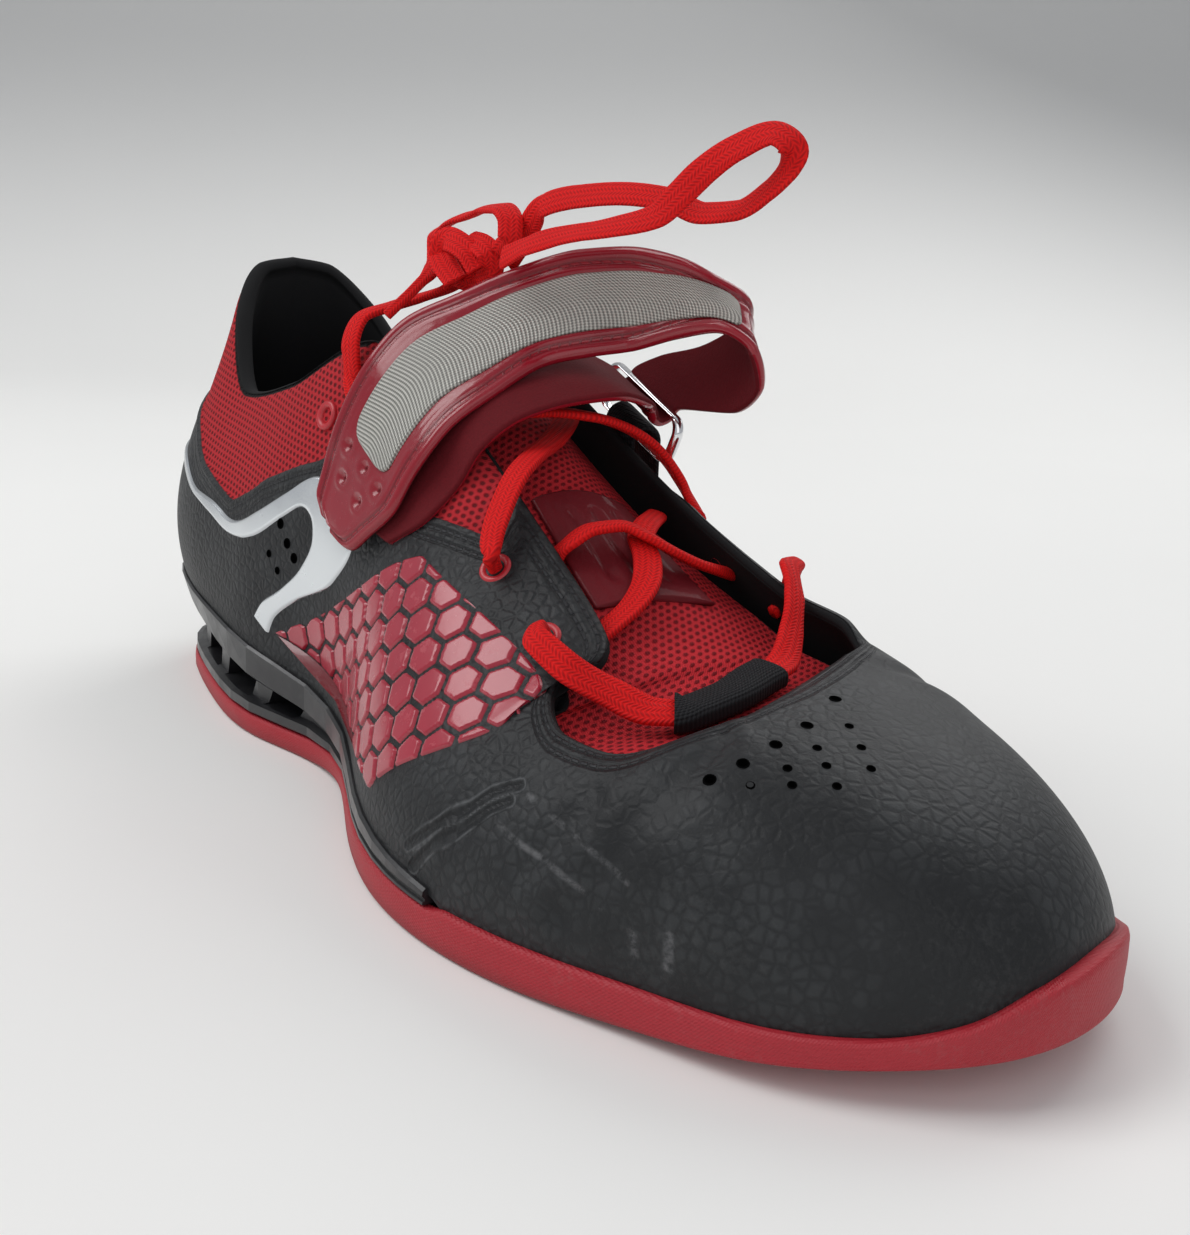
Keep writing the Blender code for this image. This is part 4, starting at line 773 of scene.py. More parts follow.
def upperMaterial(n, place, cloth):
    # Leather, knit and lining chosen by the stored distances; seams, creases, scuffs and dust on top, a
    # painted highlight on the pebble tops and painted shade in the stitch and mould grooves.
    knitIn = n.ramp(n.value("knitDistance"), -0.12, 0.12)
    lining = n.ramp(n.value("liningDistance"), -0.25, 0.25)
    leather = n.minus(1.0, n.most(knitIn, lining))
    toeward = n.value("toeward")
    pebble = use(n, grain, place, 430.0)[0]
    soft = n.noise(place, 26.0, 3.0, 0.6)
    patchy = n.ramp(n.noise(place, 38.0, 3.0, 0.55), 0.40, 0.62)
    weave = use(n, knit, cloth, 2.0, 1.55)
    first = use(n, stitch, n.minus(n.value("seamDistance"), 1.9), n.value("seamAlong"), 2.1)
    second = use(n, stitch, n.minus(n.value("seamDistance"), 4.3), n.value("seamAlong"), 2.1)
    thread = n.times(n.most(first[0], second[0]), leather)
    sunk = n.times(n.most(first[1], second[1]), leather)
    mould = n.times(n.ramp(n.value("mouldDistance"), 0.1, 0.8, 1.0, 0.0), leather)
    fromRidge = n.size(n.minus(n.value("mouldDistance"), 1.15))
    ridge = n.times(n.ramp(fromRidge, 0.0, 0.45, 1.0, 0.0), leather)
    worn = n.ramp(n.noise(place, 210.0, 5.0, 0.7), 0.40, 0.60)
    scuff = n.times(n.ramp(n.value("scuffDistance"), 0.1, 0.9, 1.0, 0.0), worn)
    dusty = use(n, dust, place)[0]
    color = n.mix(soft, (0.0085, 0.0092, 0.0100), (0.0145, 0.0155, 0.0168))
    # painted highlight: the pebble tops lighter in patches
    color = n.tint(color, n.times(pebble, patchy), 0.6, (0.042, 0.045, 0.047))
    color = n.tint(color, dusty, 0.10, (0.10, 0.10, 0.10))
    color = n.tint(color, n.times(ridge, worn), 0.45, (0.15, 0.155, 0.16))
    color = n.tint(color, scuff, 0.6, (0.16, 0.16, 0.165))
    # painted shade: the stitch grooves and the mould grooves darkened
    color = n.tint(color, n.most(sunk, n.times(mould, 0.4)), 0.6, (0.004, 0.004, 0.005))
    color = n.tint(color, thread, 0.7, (0.026, 0.027, 0.030))
    knitColor = n.mix(weave[0], (0.075, 0.003, 0.005), (0.52, 0.022, 0.030))
    knitColor = n.tint(knitColor, soft, 0.35, (0.30, 0.012, 0.020))
    color = n.mix(knitIn, color, knitColor)
    color = n.mix(lining, color, (0.0062, 0.0062, 0.0068))
    height = n.times(n.times(pebble, leather), n.ramp(toeward, 0.0, 1.0, 1.3, 0.6))
    height = n.lift(height, n.times(weave[0], knitIn), 2.6)
    height = n.lift(height, thread, 2.4)
    height = n.minus(height, n.times(sunk, 1.6))
    height = n.minus(height, n.times(mould, 1.8))
    height = n.lift(height, ridge, 1.4)
    height = n.lift(height, n.noise(place, 2400.0, 2.0, 0.6), 0.25)
    rough = n.mix(n.most(knitIn, lining), (0.50, 0.50, 0.50), (0.90, 0.90, 0.90))
    return {"Base Color": color, "Roughness": rough, "Normal": n.bump(height, 0.75, 0.00022),
            "Specular IOR Level": 0.28}


def upperWeights():
    # Angles spaced closer where the throat and eyestay turn.
    base = np.linspace(0, 360, 2881)
    weight = 1 + 1.6 * bell(base - 111, 7) + 1.2 * bell(base - 242, 7) \
        + 0.6 * bell(base - 180, 30)
    run = np.concatenate([[0], np.cumsum((weight[1:] + weight[:-1]) / 2)])
    return np.interp(np.linspace(0, run[-1], upperPiece["angles"] + 1)[:-1], run, base)


upperAngles = upperWeights()
upperPadding = 2.2 * (smooth(75, 52, upperAngles) + smooth(285, 308, upperAngles))
lengthAngles = np.linspace(0, 360, 721)
lengthAlong = measured(upperPoint(lengthAngles, np.full(721, 0.72)), 0)
heightShares = np.linspace(0, 1.1, 56)
heightGrid = measured(upperPoint(lengthAngles[:, None], heightShares[None]), 1)


def clothSpot(angle, share):
    # Angle and share as millimetres along and up the cloth.
    angle = np.asarray(angle, float)
    spotAngle = np.clip(angle / 0.5, 0, 719.999)
    low = spotAngle.astype(int)
    part = (spotAngle - low)[..., None]
    rows = heightGrid[low] * (1 - part) + heightGrid[low + 1] * part
    at = np.clip(np.asarray(share, float) / 0.02, 0, 54.999)
    step = at.astype(int)
    left = np.take_along_axis(rows, step[..., None], -1)[..., 0]
    right = np.take_along_axis(rows, step[..., None] + 1, -1)[..., 0]
    return np.stack([np.interp(angle, lengthAngles, lengthAlong), left + (right - left) * (at - step)], -1)


def spotLine(line, count=8):
    # A line of angle and share, filled in and as cloth millimetres.
    line = np.array(line, float)
    at = np.linspace(0, len(line) - 1, (len(line) - 1) * count + 1)
    keys = np.arange(len(line))
    return clothSpot(np.interp(at, keys, line[:, 0]), np.interp(at, keys, line[:, 1]))


def mirroredLine(line):
    # The line on the other side of the shoe.
    return tuple((360.0 - a, b) for a, b in line)


def buildUpper():
    # Outer face, rolled rim, inner face; steps and grooves are offsets along the normal.
    piece = upperPiece
    angle = upperAngles[:, None]
    shares = np.linspace(0, 1, piece["outer"])[None]
    angles, sharesAll = np.broadcast_arrays(angle, shares)
    spot = clothSpot(angles, sharesAll)
    edgeLine = spotLine(knitEdge)
    farEdge = spotLine(mirroredLine(knitEdge))
    near = np.concatenate([[[-60.0, edgeLine[0, 1]]], edgeLine, [[edgeLine[-1, 0], 400.0], [-60.0, 400.0]]])
    far = np.concatenate([[[lengthAlong[-1] + 60, farEdge[0, 1]]], farEdge,
                          [[farEdge[-1, 0], 400.0], [lengthAlong[-1] + 60, 400.0]]])
    knitDistance = np.maximum(regionDistance(spot, near), regionDistance(spot, far))
    edgeDistance = measured(upperPoint(angles, sharesAll)[:, ::-1], 1)[:, ::-1]
    step = piece["panelStep"] * smooth(0.5, -0.5, knitDistance)
    step += 0.3 * bell(knitDistance + 1.4, 1.0)
    depth = np.zeros_like(step)
    everyMould = mouldLines + tuple(mirroredLine(line) for line in mouldLines)
    mouldDistance = np.minimum.reduce([lineDistance(spot, spotLine(line)) for line in everyMould])
    depth -= 0.3 * bell(mouldDistance, 1.2)
    for line, deep in creaseLines:
        away = lineDistance(spot, spotLine(line))
        depth += deep * (0.55 * bell(away - 4.5, 3.0) - bell(away, 2.2))
    scuffDistance = np.minimum.reduce([lineDistance(spot, spotLine(line)) for line in scuffLines])
    throat = smooth(66, 76, angles) * smooth(294, 284, angles)
    # edges of the throat roll in a little, the collar is drawn round a pad
    body = 0.25 + step + depth - 0.9 * smooth(0.955, 1.0, sharesAll) ** 2
    outer = upperOffset(angles, sharesAll, body)
    rimRadius = 0.95 + upperPadding * 0.62
    edge = upperPoint(upperAngles, np.full(len(upperAngles), 0.998))
    normal = upperNormal(upperAngles, np.full(len(upperAngles), 0.99))
    upward = unit(edge - upperPoint(upperAngles, np.full(len(upperAngles), 0.985)))
    middle = edge - normal * (rimRadius - 0.05)[:, None] - upward * (rimRadius * 0.6)[:, None]
    turnBy = np.linspace(0.12, 1, piece["rim"])[None, :, None] * np.pi
    rim = middle[:, None] + rimRadius[:, None, None] * (
        normal[:, None] * np.cos(turnBy) + upward[:, None] * np.sin(turnBy))
    innerShares = np.linspace(0.985, 0.02, piece["inner"])
    innerShare = innerShares[None] * np.ones_like(angle)
    pad = upperPadding[:, None] * (1.15 * smooth(0.45, 0.85, innerShare))
    inner = upperOffset(np.broadcast_to(angle, innerShare.shape), innerShare, -1.9 - pad)
    inner[:, -1, 2] = outer[:, 0, 2]
    points = np.concatenate([outer, rim, inner], 1)
    rest = piece["rim"] + piece["inner"]

    def widen(value, fill):
        return np.concatenate([value, np.full((len(value), rest), fill)], 1)

    clothAll = np.concatenate([spot, np.repeat(spot[:, -1:], rest, 1) + np.stack(
        [np.zeros(rest), np.arange(1, rest + 1)], -1)[None]], 1)
    seamDistance = np.minimum(edgeDistance, np.abs(knitDistance + 0.4))
    useKnitSeam = np.abs(knitDistance) < edgeDistance
    liningDistance = np.where(throat > 0.5, -1.0 - edgeDistance, 1.6 - edgeDistance)
    values = dict(
        knitDistance=widen(knitDistance, -5.0), liningDistance=widen(liningDistance, 5.0),
        toeward=widen(smooth(20, 110, outer[..., 0]), 0.0), seamDistance=widen(seamDistance, 30.0),
        seamAlong=widen(np.where(useKnitSeam, spot[..., 0] + spot[..., 1] * 0.4, spot[..., 0]), 0.0),
        scuffDistance=widen(scuffDistance, 30.0), mouldDistance=widen(mouldDistance, 30.0))
    return grid("upperSkin", points, surface("leather", upperMaterial), wrapRows=True,
                uv=clothAll, values=values)


upperSkin = buildUpper()
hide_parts("upper")
print("upper done")

# sole, frame and insole
solePiece = dict(angles=720)


def rubberMaterial(n, place, cloth):
    # Red rubber with a fine side texture, dust, and darker towards the bottom.
    x, y = n.split(cloth)[:2]
    lines = n.sine(n.times(y, 9.0))
    cross = n.sine(n.times(x, 5.2))
    fine = n.noise(place, 1500.0, 2.0, 0.6)
    dusty = use(n, dust, place)[0]
    color = n.mix(n.noise(place, 70.0, 4.0, 0.6), (0.34, 0.010, 0.020), (0.43, 0.014, 0.026))
    color = n.tint(color, dusty, 0.15, (0.34, 0.12, 0.12))
    # darker towards the bottom, within 4 mm of the ground
    color = n.mix(n.ramp(n.split(place)[2], 0.0, 0.004, 0.45, 0.0), color, (0.10, 0.020, 0.02))
    height = n.plus(n.times(n.times(lines, cross), 0.3), fine)
    return {"Base Color": color, "Roughness": 0.55, "Normal": n.bump(height, 0.8, 0.00018)}


def buildOutsole():
    # Rings: underside, rounded bottom edge, side wall, rounded rim, floor; ends drawn to the middle line.
    angle = np.linspace(0, 360, solePiece["angles"] + 1)[:-1]
    rim, floor = level("rim", angle), level("floor", angle)
    under = ground(-shoe["length"] / 2 * np.cos(np.radians(angle)))
    rings = []
    for share in np.linspace(0.02, 0.98, 12):
        flat = outline(angle, np.full(len(angle), 2.0))[0]
        middle = middleLine(flat)
        spot = middle + (flat - middle) * share
        rings.append(np.concatenate([spot, ground(spot[:, 0])[:, None]], -1))
    wallHigh = rim - under
    for inset, up in ((1.2, 0.0), (0.6, 0.15), (0.2, 0.5), (0.0, 1.1)):
        rings.append(ring(angle, inset, under + up))
    for share in np.linspace(0.25, 0.9, 9):
        bulge = 0.25 - 0.25 * np.sin(np.pi * share)
        rings.append(ring(angle, bulge, under + share * wallHigh))
    for inset, down in ((0.45, 0.25), (0.8, 0.06), (1.3, 0.0)):
        rings.append(ring(angle, inset, rim - down))
    rings.append(upperLevel(angle, rim - 0.1, 0.3))
    rings.append(upperLevel(angle, 0.6 * rim + 0.4 * floor, 0.1))
    rings.append(upperLevel(angle, floor, 0.1))
    points = np.stack(rings, 1)
    along = measured(ring(angle, 0.0, 0.0), 0)
    uv = np.stack([np.broadcast_to(along[:, None], points.shape[:2]), measured(points, 1)], -1)
    return grid("outsoleRubber", points, surface("rubber", rubberMaterial), wrapRows=True, uv=uv)


outsoleRubber = buildOutsole()
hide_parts("outsole")


def insoleMaterial(n, place, cloth):
    # Black brushed cloth.
    fuzz = n.noise(place, 2200.0, 3.0, 0.7)
    return {"Base Color": n.mix(fuzz, (0.006, 0.006, 0.007), (0.014, 0.014, 0.016)), "Roughness": 0.9,
            "Sheen Weight": 0.3, "Normal": n.bump(fuzz, 0.5, 0.0002)}


def buildInsole():
    # Rings from the middle line out to the edge and down the side.
    angle = np.linspace(0, 360, 241)[:-1]
    inset = upperValues(angle)["inset"] + 2.9
    flat = outline(angle, inset + 1.0)[0]
    middle = middleLine(flat)
    bed = level("bed", angle) + 3.2
    rings = [np.concatenate([middle + (flat - middle) * share, bed[:, None]], -1)
             for share in np.linspace(0.02, 1.0, 14)]
    rings += [ring(angle, inset, bed - 0.6), ring(angle, inset, bed - 2.6)]
    points = np.stack(rings, 1)
    return grid("insoleCover", points, surface("insole", insoleMaterial), wrapRows=True,
                uv=points[..., :2], flip=True)


insoleCover = buildInsole()
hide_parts("insole")
print("sole done")


# heel frame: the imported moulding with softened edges
def frameMaterial(n, place, cloth):
    # Smoky moulded plastic, dusty in patches.
    dusty = use(n, dust, place)[0]
    cloud = n.noise(place, 90.0, 4.0, 0.6)
    color = n.mix(cloud, (0.006, 0.006, 0.007), (0.014, 0.014, 0.016))
    color = n.tint(color, dusty, 0.2, (0.09, 0.088, 0.086))
    return {"Base Color": color, "Roughness": n.ramp(cloud, 0.3, 0.7, 0.28, 0.5), "Coat Weight": 0.25,
            "Coat Roughness": 0.3, "Normal": n.bump(n.noise(place, 700.0, 2.0, 0.5), 0.15, 0.0001)}


frameNode = nodes["heel_frame"]
frameNode.data.materials.clear()
frameNode.data.materials.append(surface("framePlastic", frameMaterial))
for polygon in frameNode.data.polygons:
    polygon.use_smooth = True
bevel = frameNode.modifiers.new("soft", "BEVEL")
bevel.width, bevel.segments, bevel.limit_method, bevel.angle_limit = 0.0006, 2, "ANGLE", 0.6
bevel.harden_normals = True

# tongue: red knit with a black padded border
tonguePiece = dict(rows=190, across=90, thick=3.2)


def tongueMaterial(n, place, cloth):
    # Knit in the middle, black binding at the margins and the top.
    weave = use(n, knit, cloth, 2.0, 1.5)
    soft = n.noise(place, 40.0, 3.0, 0.6)
    border = n.ramp(n.value("border"), -0.3, 0.3)
    color = n.mix(weave[0], (0.13, 0.004, 0.007), (0.62, 0.026, 0.034))
    color = n.tint(color, soft, 0.4, (0.32, 0.02, 0.03))
    color = n.mix(border, color, (0.010, 0.010, 0.011))
    height = n.times(weave[0], n.ramp(border, 0.0, 1.0, 2.4, 0.3))
    height = n.plus(height, n.noise(place, 1800.0, 2.0, 0.6))
    return {"Base Color": color, "Roughness": 0.88, "Specular IOR Level": 0.2,
            "Normal": n.bump(height, 0.7, 0.00022)}


def rounded(across, rounding):
    # Share of the thickness: a quarter circle from 0 at a margin to 1 at the rounding's width.
    t = np.asarray(across)
    return np.sqrt(np.clip(1 - np.clip(1 - np.minimum(t, 1 - t) / rounding, 0, 1) ** 2, 0, 1))


def closedSection(top, under):
    # Over the top from one margin to the other, and back below.
    return np.concatenate([top, under[:, ::-1][:, 1:-1]], 1)


def paddedSection(face, down, thick, across, rounding):
    # Section of a pad of even thickness below its face, margins rounded.
    share = rounded(across, rounding)
    top = face + down * (thick / 2 * (1 - share))[None, :, None]
    under = face + down * (thick / 2 * (1 + share))[None, :, None]
    return closedSection(top, under)


def buildTongue():
    # The tongue's face with an even padding below it, the margins rounded.
    piece = tonguePiece
    at = np.linspace(0, len(tongueRows) - 1, piece["rows"])
    across = (1 - np.cos(np.linspace(0, np.pi, piece["across"]))) / 2
    face, down = tongueFace(at, across)
    points = paddedSection(face, down, piece["thick"], across, 0.05)
    over = len(across)
    u = measured(face, 1)
    v = measured(face, 0)
    border = np.maximum(2.2 - np.minimum(u, u[:, -1:] - u), 5.0 - (v[-1:] - v))
    uv = folded(np.stack([u - u[:, -1:] / 2, v], -1))
    borderAll = np.concatenate([border, np.full((len(at), over - 2), 6.0)], 1)
    return grid("tonguePad", capped(points), surface("tongueKnit", tongueMaterial), wrapCols=True,
                uv=ended(uv), values=dict(border=ended(borderAll)))


tonguePad = buildTongue()
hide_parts("tongue")


# keeper on the tongue, and the gloss that it shares with the strap
def glossMaterial(n, place, cloth):
    # Deep red patent plastic with faint waves and scratches, a painted highlight along its edges and painted
    # shade in the stitch channels; matte pile where under is 1, which is the backing and also painted shade
    # in the middles of the strap's dimples.
    cloud = n.noise(place, 60.0, 4.0, 0.6)
    edge = n.ramp(n.value("edge"), 0.4, 2.2, 1.0, 0.0)
    scratch = n.noise(place, 900.0, 5.0, 0.75)
    color = n.mix(cloud, (0.20, 0.004, 0.012), (0.30, 0.008, 0.020))
    # painted highlight: lighter along the edges
    color = n.tint(color, edge, 0.3, (0.36, 0.014, 0.026))
    seams = use(n, stitch, n.value("seam"), n.split(cloth)[1], 2.2)
    # painted shade: darker in the sunk stitch channel
    color = n.tint(color, seams[1], 0.45, (0.07, 0.002, 0.004))
    color = n.tint(color, seams[0], 0.8, (0.30, 0.010, 0.02))
    height = n.plus(n.times(cloud, 1.2), n.times(scratch, 0.12))
    height = n.minus(height, n.times(seams[1], 0.7))
    height = n.lift(height, seams[0], 0.6)
    under = n.ramp(n.value("under"), 0.35, 0.65)
    pile = n.noise(place, 1700.0, 3.0, 0.7)
    # dark matte pile: the strap's backing, and painted shade in the middles of the dimples
    color = n.mix(under, color, n.mix(pile, (0.075, 0.001, 0.004), (0.15, 0.003, 0.008)))
    rough = n.most(n.ramp(scratch, 0.35, 0.7, 0.14, 0.30), n.times(under, 0.9))
    height = n.mix(under, height, n.times(pile, 0.5))
    return {"Base Color": color, "Roughness": rough,
            "Coat Weight": n.times(n.minus(1.0, under), 0.5),
            "Coat Roughness": 0.08, "Specular IOR Level": 0.3, "Normal": n.bump(height, 0.55, 0.0006)}


gloss = surface("strapGloss", glossMaterial)


def plateSection(face, out, high, low, across, rounding):
    # Section of a thin plate: its top at face + out high, rounded at both margins.
    middle = (np.asarray(high) + low) / 2
    half = (np.asarray(high) - low) / 2 * rounded(across, rounding)[None]
    return closedSection(face + out * (middle + half)[..., None], face + out * (middle - half)[..., None])


keeperPiece = dict(rows=70, across=60, span=(4.75, 6.3), sides=(0.26, 0.74), high=1.25, low=0.15,
                   slots=(0.28, 0.5, 0.72), slotWide=0.045, slotDeep=0.75)


def buildKeeper():
    # Plate on the tongue with three long slots pressed into it.
    piece = keeperPiece
    rows, count = piece["rows"], piece["across"]
    face, down = tongueFace(np.linspace(*piece["span"], rows), np.linspace(*piece["sides"], count))
    t, s = np.linspace(0, 1, count)[None], np.linspace(0, 1, rows)[:, None]
    slots = sum(bell(t - middle, piece["slotWide"]) for middle in piece["slots"])
    high = piece["high"] - piece["slotDeep"] * slots * smooth(0.12, 0.25, s) * smooth(0.88, 0.75, s)
    points = plateSection(face, -down, high, piece["low"], np.linspace(0, 1, count), 0.06)
    edge = np.concatenate([np.minimum(t, 1 - t) * 20 + 0 * s, np.full((rows, count - 2), 5.0)], 1)
    uv = folded(face[..., :2])
    points, edge, uv = capped(points), ended(edge), ended(uv)
    return grid("keeperPad", points, gloss, wrapCols=True, uv=uv,
                values=dict(edge=edge, seam=9.0, under=0.56), flip=True)


keeperPad = buildKeeper()
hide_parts("tongue_keeper")
print("tongue done")


# silver trim round the heel
def trimMaterial(n, place, cloth):
    # Satin silver lacquer, darker along the bevelled edge: painted shade.
    cloud = n.noise(place, 130.0, 3.0, 0.6)
    edge = n.ramp(n.value("edge"), 0.0, 1.2, 1.0, 0.0)
    color = n.mix(cloud, (0.66, 0.69, 0.71), (0.76, 0.79, 0.81))
    # painted shade on the bevelled margins
    color = n.tint(color, edge, 0.5, (0.25, 0.27, 0.29))
    return {"Base Color": color, "Metallic": 0.8, "Roughness": n.ramp(cloud, 0.3, 0.7, 0.20, 0.28),
            "Coat Weight": 0.3, "Normal": n.bump(n.noise(place, 1400.0, 2.0, 0.5), 0.08, 0.0001)}


trimPiece = dict(rows=260, across=26, low=0.25, edge=0.55, crown=0.95, bevel=1.3)


def buildTrim():
    # Band between its two lines, mirrored to the far side, bevelled towards its margins.
    piece = trimPiece
    across = np.linspace(0, 1, piece["across"])
    at = np.linspace(0, len(trimRows) - 1, piece["rows"])
    angle, share = between(trimRows, trimColumns, at, across)
    farAngle, farShare = between(trimRows, trimColumns, at[-2::-1], across, True)
    angle, share = np.concatenate([angle, farAngle]), np.concatenate([share, farShare])
    face, out = upperPoint(angle, share), upperNormal(angle, share)
    wide = measured(face, 1)[:, -1:]
    t = across[None]
    near = np.minimum(t, 1 - t) * wide
    high = piece["edge"] + piece["crown"] * smooth(0, piece["bevel"], near)
    points = plateSection(face, out, high, piece["low"], across, 0.03)
    edge = np.concatenate([near, np.full((len(face), len(across) - 2), 4.0)], 1)
    uv = ended(folded(face[..., :2]))
    return grid("trimBand", capped(points), surface("trimSilver", trimMaterial), wrapCols=True,
                uv=uv, values=dict(edge=ended(edge)), flip=True)


trimBand = buildTrim()
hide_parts("heel_trim")


# raised hexagon pads on each side
padPiece = dict(pitch=8.2, gap=0.7, film=0.55, low=0.2, high=1.3 * 0.75, rows=150, across=150)


def padMaterial(n, place, cloth):
    # Glossy red pads with worn tops.
    cloud = n.noise(place, 85.0, 4.0, 0.6)
    raised = n.ramp(n.value("raised"), 0.15, 0.7)
    wear = n.ramp(n.noise(place, 260.0, 5.0, 0.7), 0.55, 0.75)
    color = n.mix(cloud, (0.30, 0.012, 0.030), (0.42, 0.022, 0.045))
    color = n.tint(color, wear, 0.35, (0.62, 0.14, 0.16))
    color = n.mix(raised, (0.16, 0.006, 0.012), color)
    return {"Base Color": color, "Roughness": n.ramp(wear, 0.0, 1.0, 0.26, 0.5), "Coat Weight": 0.35,
            "Normal": n.bump(cloud, 0.3, 0.0005)}


padGloss = surface("patchRed", padMaterial)


def hexInside(spot, pitch):
    # Distance from a point to the border of its hexagon on a staggered grid, half the pitch at middles.
    tall = pitch * math.sqrt(3)
    cell = np.array([pitch, tall])
    first, second = (spot + cell / 2) % cell - cell / 2, spot % cell - cell / 2
    nearer = np.linalg.norm(first, axis=-1) < np.linalg.norm(second, axis=-1)
    near = np.abs(np.where(nearer[..., None], first, second))
    return pitch / 2 - np.maximum(near[..., 0], near[..., 0] * 0.5 + near[..., 1] * math.sqrt(3) / 2)


def buildPatch(name, side):
    # Film on the wall with pads where the hexagon distance exceeds half the gap.
    rows = patchTables[side]
    at = np.linspace(0, len(rows) - 1, padPiece["rows"])
    across = np.linspace(0, 1, padPiece["across"])
    angle, share = between(rows, patchColumns, at, across, side == "medial")
    face, out = upperPoint(angle, share), upperNormal(angle, share)
    spot = clothSpot(angle, share)
    turned = spot @ np.array([[0.87, -0.5], [0.5, 0.87]])
    inside = hexInside(turned, padPiece["pitch"])
    lengths, widths = measured(face, 0), measured(face, 1)
    border = np.minimum.reduce([lengths, lengths[-1:] - lengths, widths, widths[:, -1:] - widths])
    raised = smooth(0.0, 0.5, inside - padPiece["gap"] / 2) * smooth(0.5, 1.1, border)
    high = padPiece["film"] + padPiece["high"] * raised
    points = plateSection(face, out, high, padPiece["low"], across, 0.012)
    rest = padPiece["across"] - 2
    raisedAll = np.concatenate([raised, np.zeros((len(face), rest))], 1)
    return grid(name, capped(points), padGloss, wrapCols=True, uv=ended(folded(spot)),
                values=dict(raised=ended(raisedAll)), flip=side == "lateral")


for side in ("lateral", "medial"):
    patch = buildPatch("patch" + side.capitalize(), side)
    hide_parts("side_patch_" + side)
print("trim and patches done")

# strap: patent band with welted, stitched edges and a sunk silver panel
strapPiece = dict(rows=420, half=46, panelFrom=3.3, panelTo=11.6, margin=0.23, seam=3.3)
dimples = ((3.04, 0.25), (3.02, 0.5), (2.24, 0.35), (2.94, 0.75), (2.28, 0.65))


def buildStrap():
    # Section: welt, stitched channel, flat, sunk panel; dimples near the tip are round pits, their middles
    # marked for painted shade.
    at = np.linspace(0, len(strapRows) - 1, strapPiece["rows"])
    across = (1 - np.cos(np.linspace(0, np.pi, strapPiece["half"]))) / 2
    face, through = strapFace(at, across)
    wide = measured(face, 1)
    fromEdge = np.minimum(wide, wide[:, -1:] - wide)
    s, t = across[None], at[:, None]
    high = 0.05 + 0.55 * bell(fromEdge - 1.5, 1.2) - 0.35 * bell(fromEdge - strapPiece["seam"], 0.45)
    high = high + 0.3 * bell(fromEdge - 4.6, 0.8)
    along = smooth(strapPiece["panelFrom"] - 0.3, strapPiece["panelFrom"] + 0.1, t) \
        * smooth(strapPiece["panelTo"] + 0.3, strapPiece["panelTo"] - 0.1, t)
    fromPanel = np.minimum(s, 1 - s) - strapPiece["margin"]
    high = high - 0.35 * along * smooth(-0.03, 0.02, fromPanel)
    lengths = measured(face, 0)
    pitShade = np.zeros_like(fromEdge)
    for row, share in dimples:
        k, j = np.argmin(abs(at - row)), np.argmin(abs(across - share))
        away = np.linalg.norm(face - face[k, j], axis=-1)
        high = high - 1.0 * bell(away, 1.1) + 0.2 * bell(away - 2.2, 0.6)
        # painted shade in the middle of each dimple, carried by the under value
        pitShade = np.maximum(pitShade, 0.8 * bell(away, 0.8))
    fold = 0.10 * np.sin(lengths * 0.45 + 2 * s) * smooth(8, 11, t) * smooth(20, 16, t)
    high = high + fold
    points = plateSection(face, -through, high, -1.55, across, 0.03)
    rest = len(across) - 2

    def both(value, fill):
        return ended(np.concatenate([value, np.full((len(at), rest), fill)], 1))

    uv = folded(np.stack([wide, lengths], -1))
    return grid("strapBand", capped(points), gloss, wrapCols=True, uv=ended(uv),
                values=dict(edge=both(fromEdge, 5.0), seam=both(fromEdge - strapPiece["seam"], 9.0),
                            under=both(pitShade, 1.0)))


strapBand = buildStrap()
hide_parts("strap")


def panelMaterial(n, place, cloth):
    # Woven silver: fine cords across, finer along.
    x, y = n.split(cloth)[:2]
    cords = n.sine(n.times(y, 7.4))
    wires = n.sine(n.times(x, 10.5))
    height = n.plus(cords, n.times(wires, 0.6))
    cloud = n.noise(place, 55.0, 4.0, 0.6)
    color = n.mix(n.ramp(height, -1.2, 1.2), (0.14, 0.138, 0.125), (0.58, 0.57, 0.52))
    color = n.tint(color, cloud, 0.4, (0.22, 0.21, 0.19))
    return {"Base Color": color, "Metallic": 0.35, "Roughness": 0.42, "Normal": n.bump(height, 0.6, 0.0001)}


def buildPanel():
    # Plate over the strap's middle with rounded ends: its half width shrinks near each end.
    piece = strapPiece
    at = np.linspace(piece["panelFrom"], piece["panelTo"], 240)
    t = np.linspace(0, 1, 30)
    ends = np.clip(np.minimum(at - at[0], at[-1] - at) / 0.35, 0, 1)
    half = (0.5 - piece["margin"]) * (0.55 + 0.45 * np.sqrt(1 - (1 - ends) ** 2))
    across = np.linspace(piece["margin"], 1 - piece["margin"], 30)
    face, through = strapFace(at, across)
    keep = half / (0.5 - piece["margin"])
    middle = face.mean(1, keepdims=True)
    face = middle + (face - middle) * keep[:, None, None]
    points = plateSection(face, -through, 0.28 + 0.12 * np.sin(np.pi * t)[None], -0.5, t, 0.03)
    uv = folded(np.stack([measured(face, 1), measured(face, 0)], -1))
    return grid("strapMesh", capped(points), surface("panelSilver", panelMaterial), wrapCols=True,
                uv=ended(uv))


strapMesh = buildPanel()
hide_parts("strap_panel")


# ring and its tab
ringPiece = dict(middle=(4.0, 25.8, 85.6), long=(0.93, -0.075, -0.35), tall=(0.34, 0.10, 0.93),
                 halfLong=15.0, halfTall=5.0, corner=3.5, wire=1.2, path=120, sides=24)


def chromeMaterial(n, place, cloth):
    # Polished chrome with faint haze.
    haze = n.noise(place, 500.0, 4.0, 0.7)
    return {"Base Color": (0.80, 0.80, 0.81), "Metallic": 1.0,
            "Roughness": n.ramp(haze, 0.4, 0.7, 0.08, 0.22)}


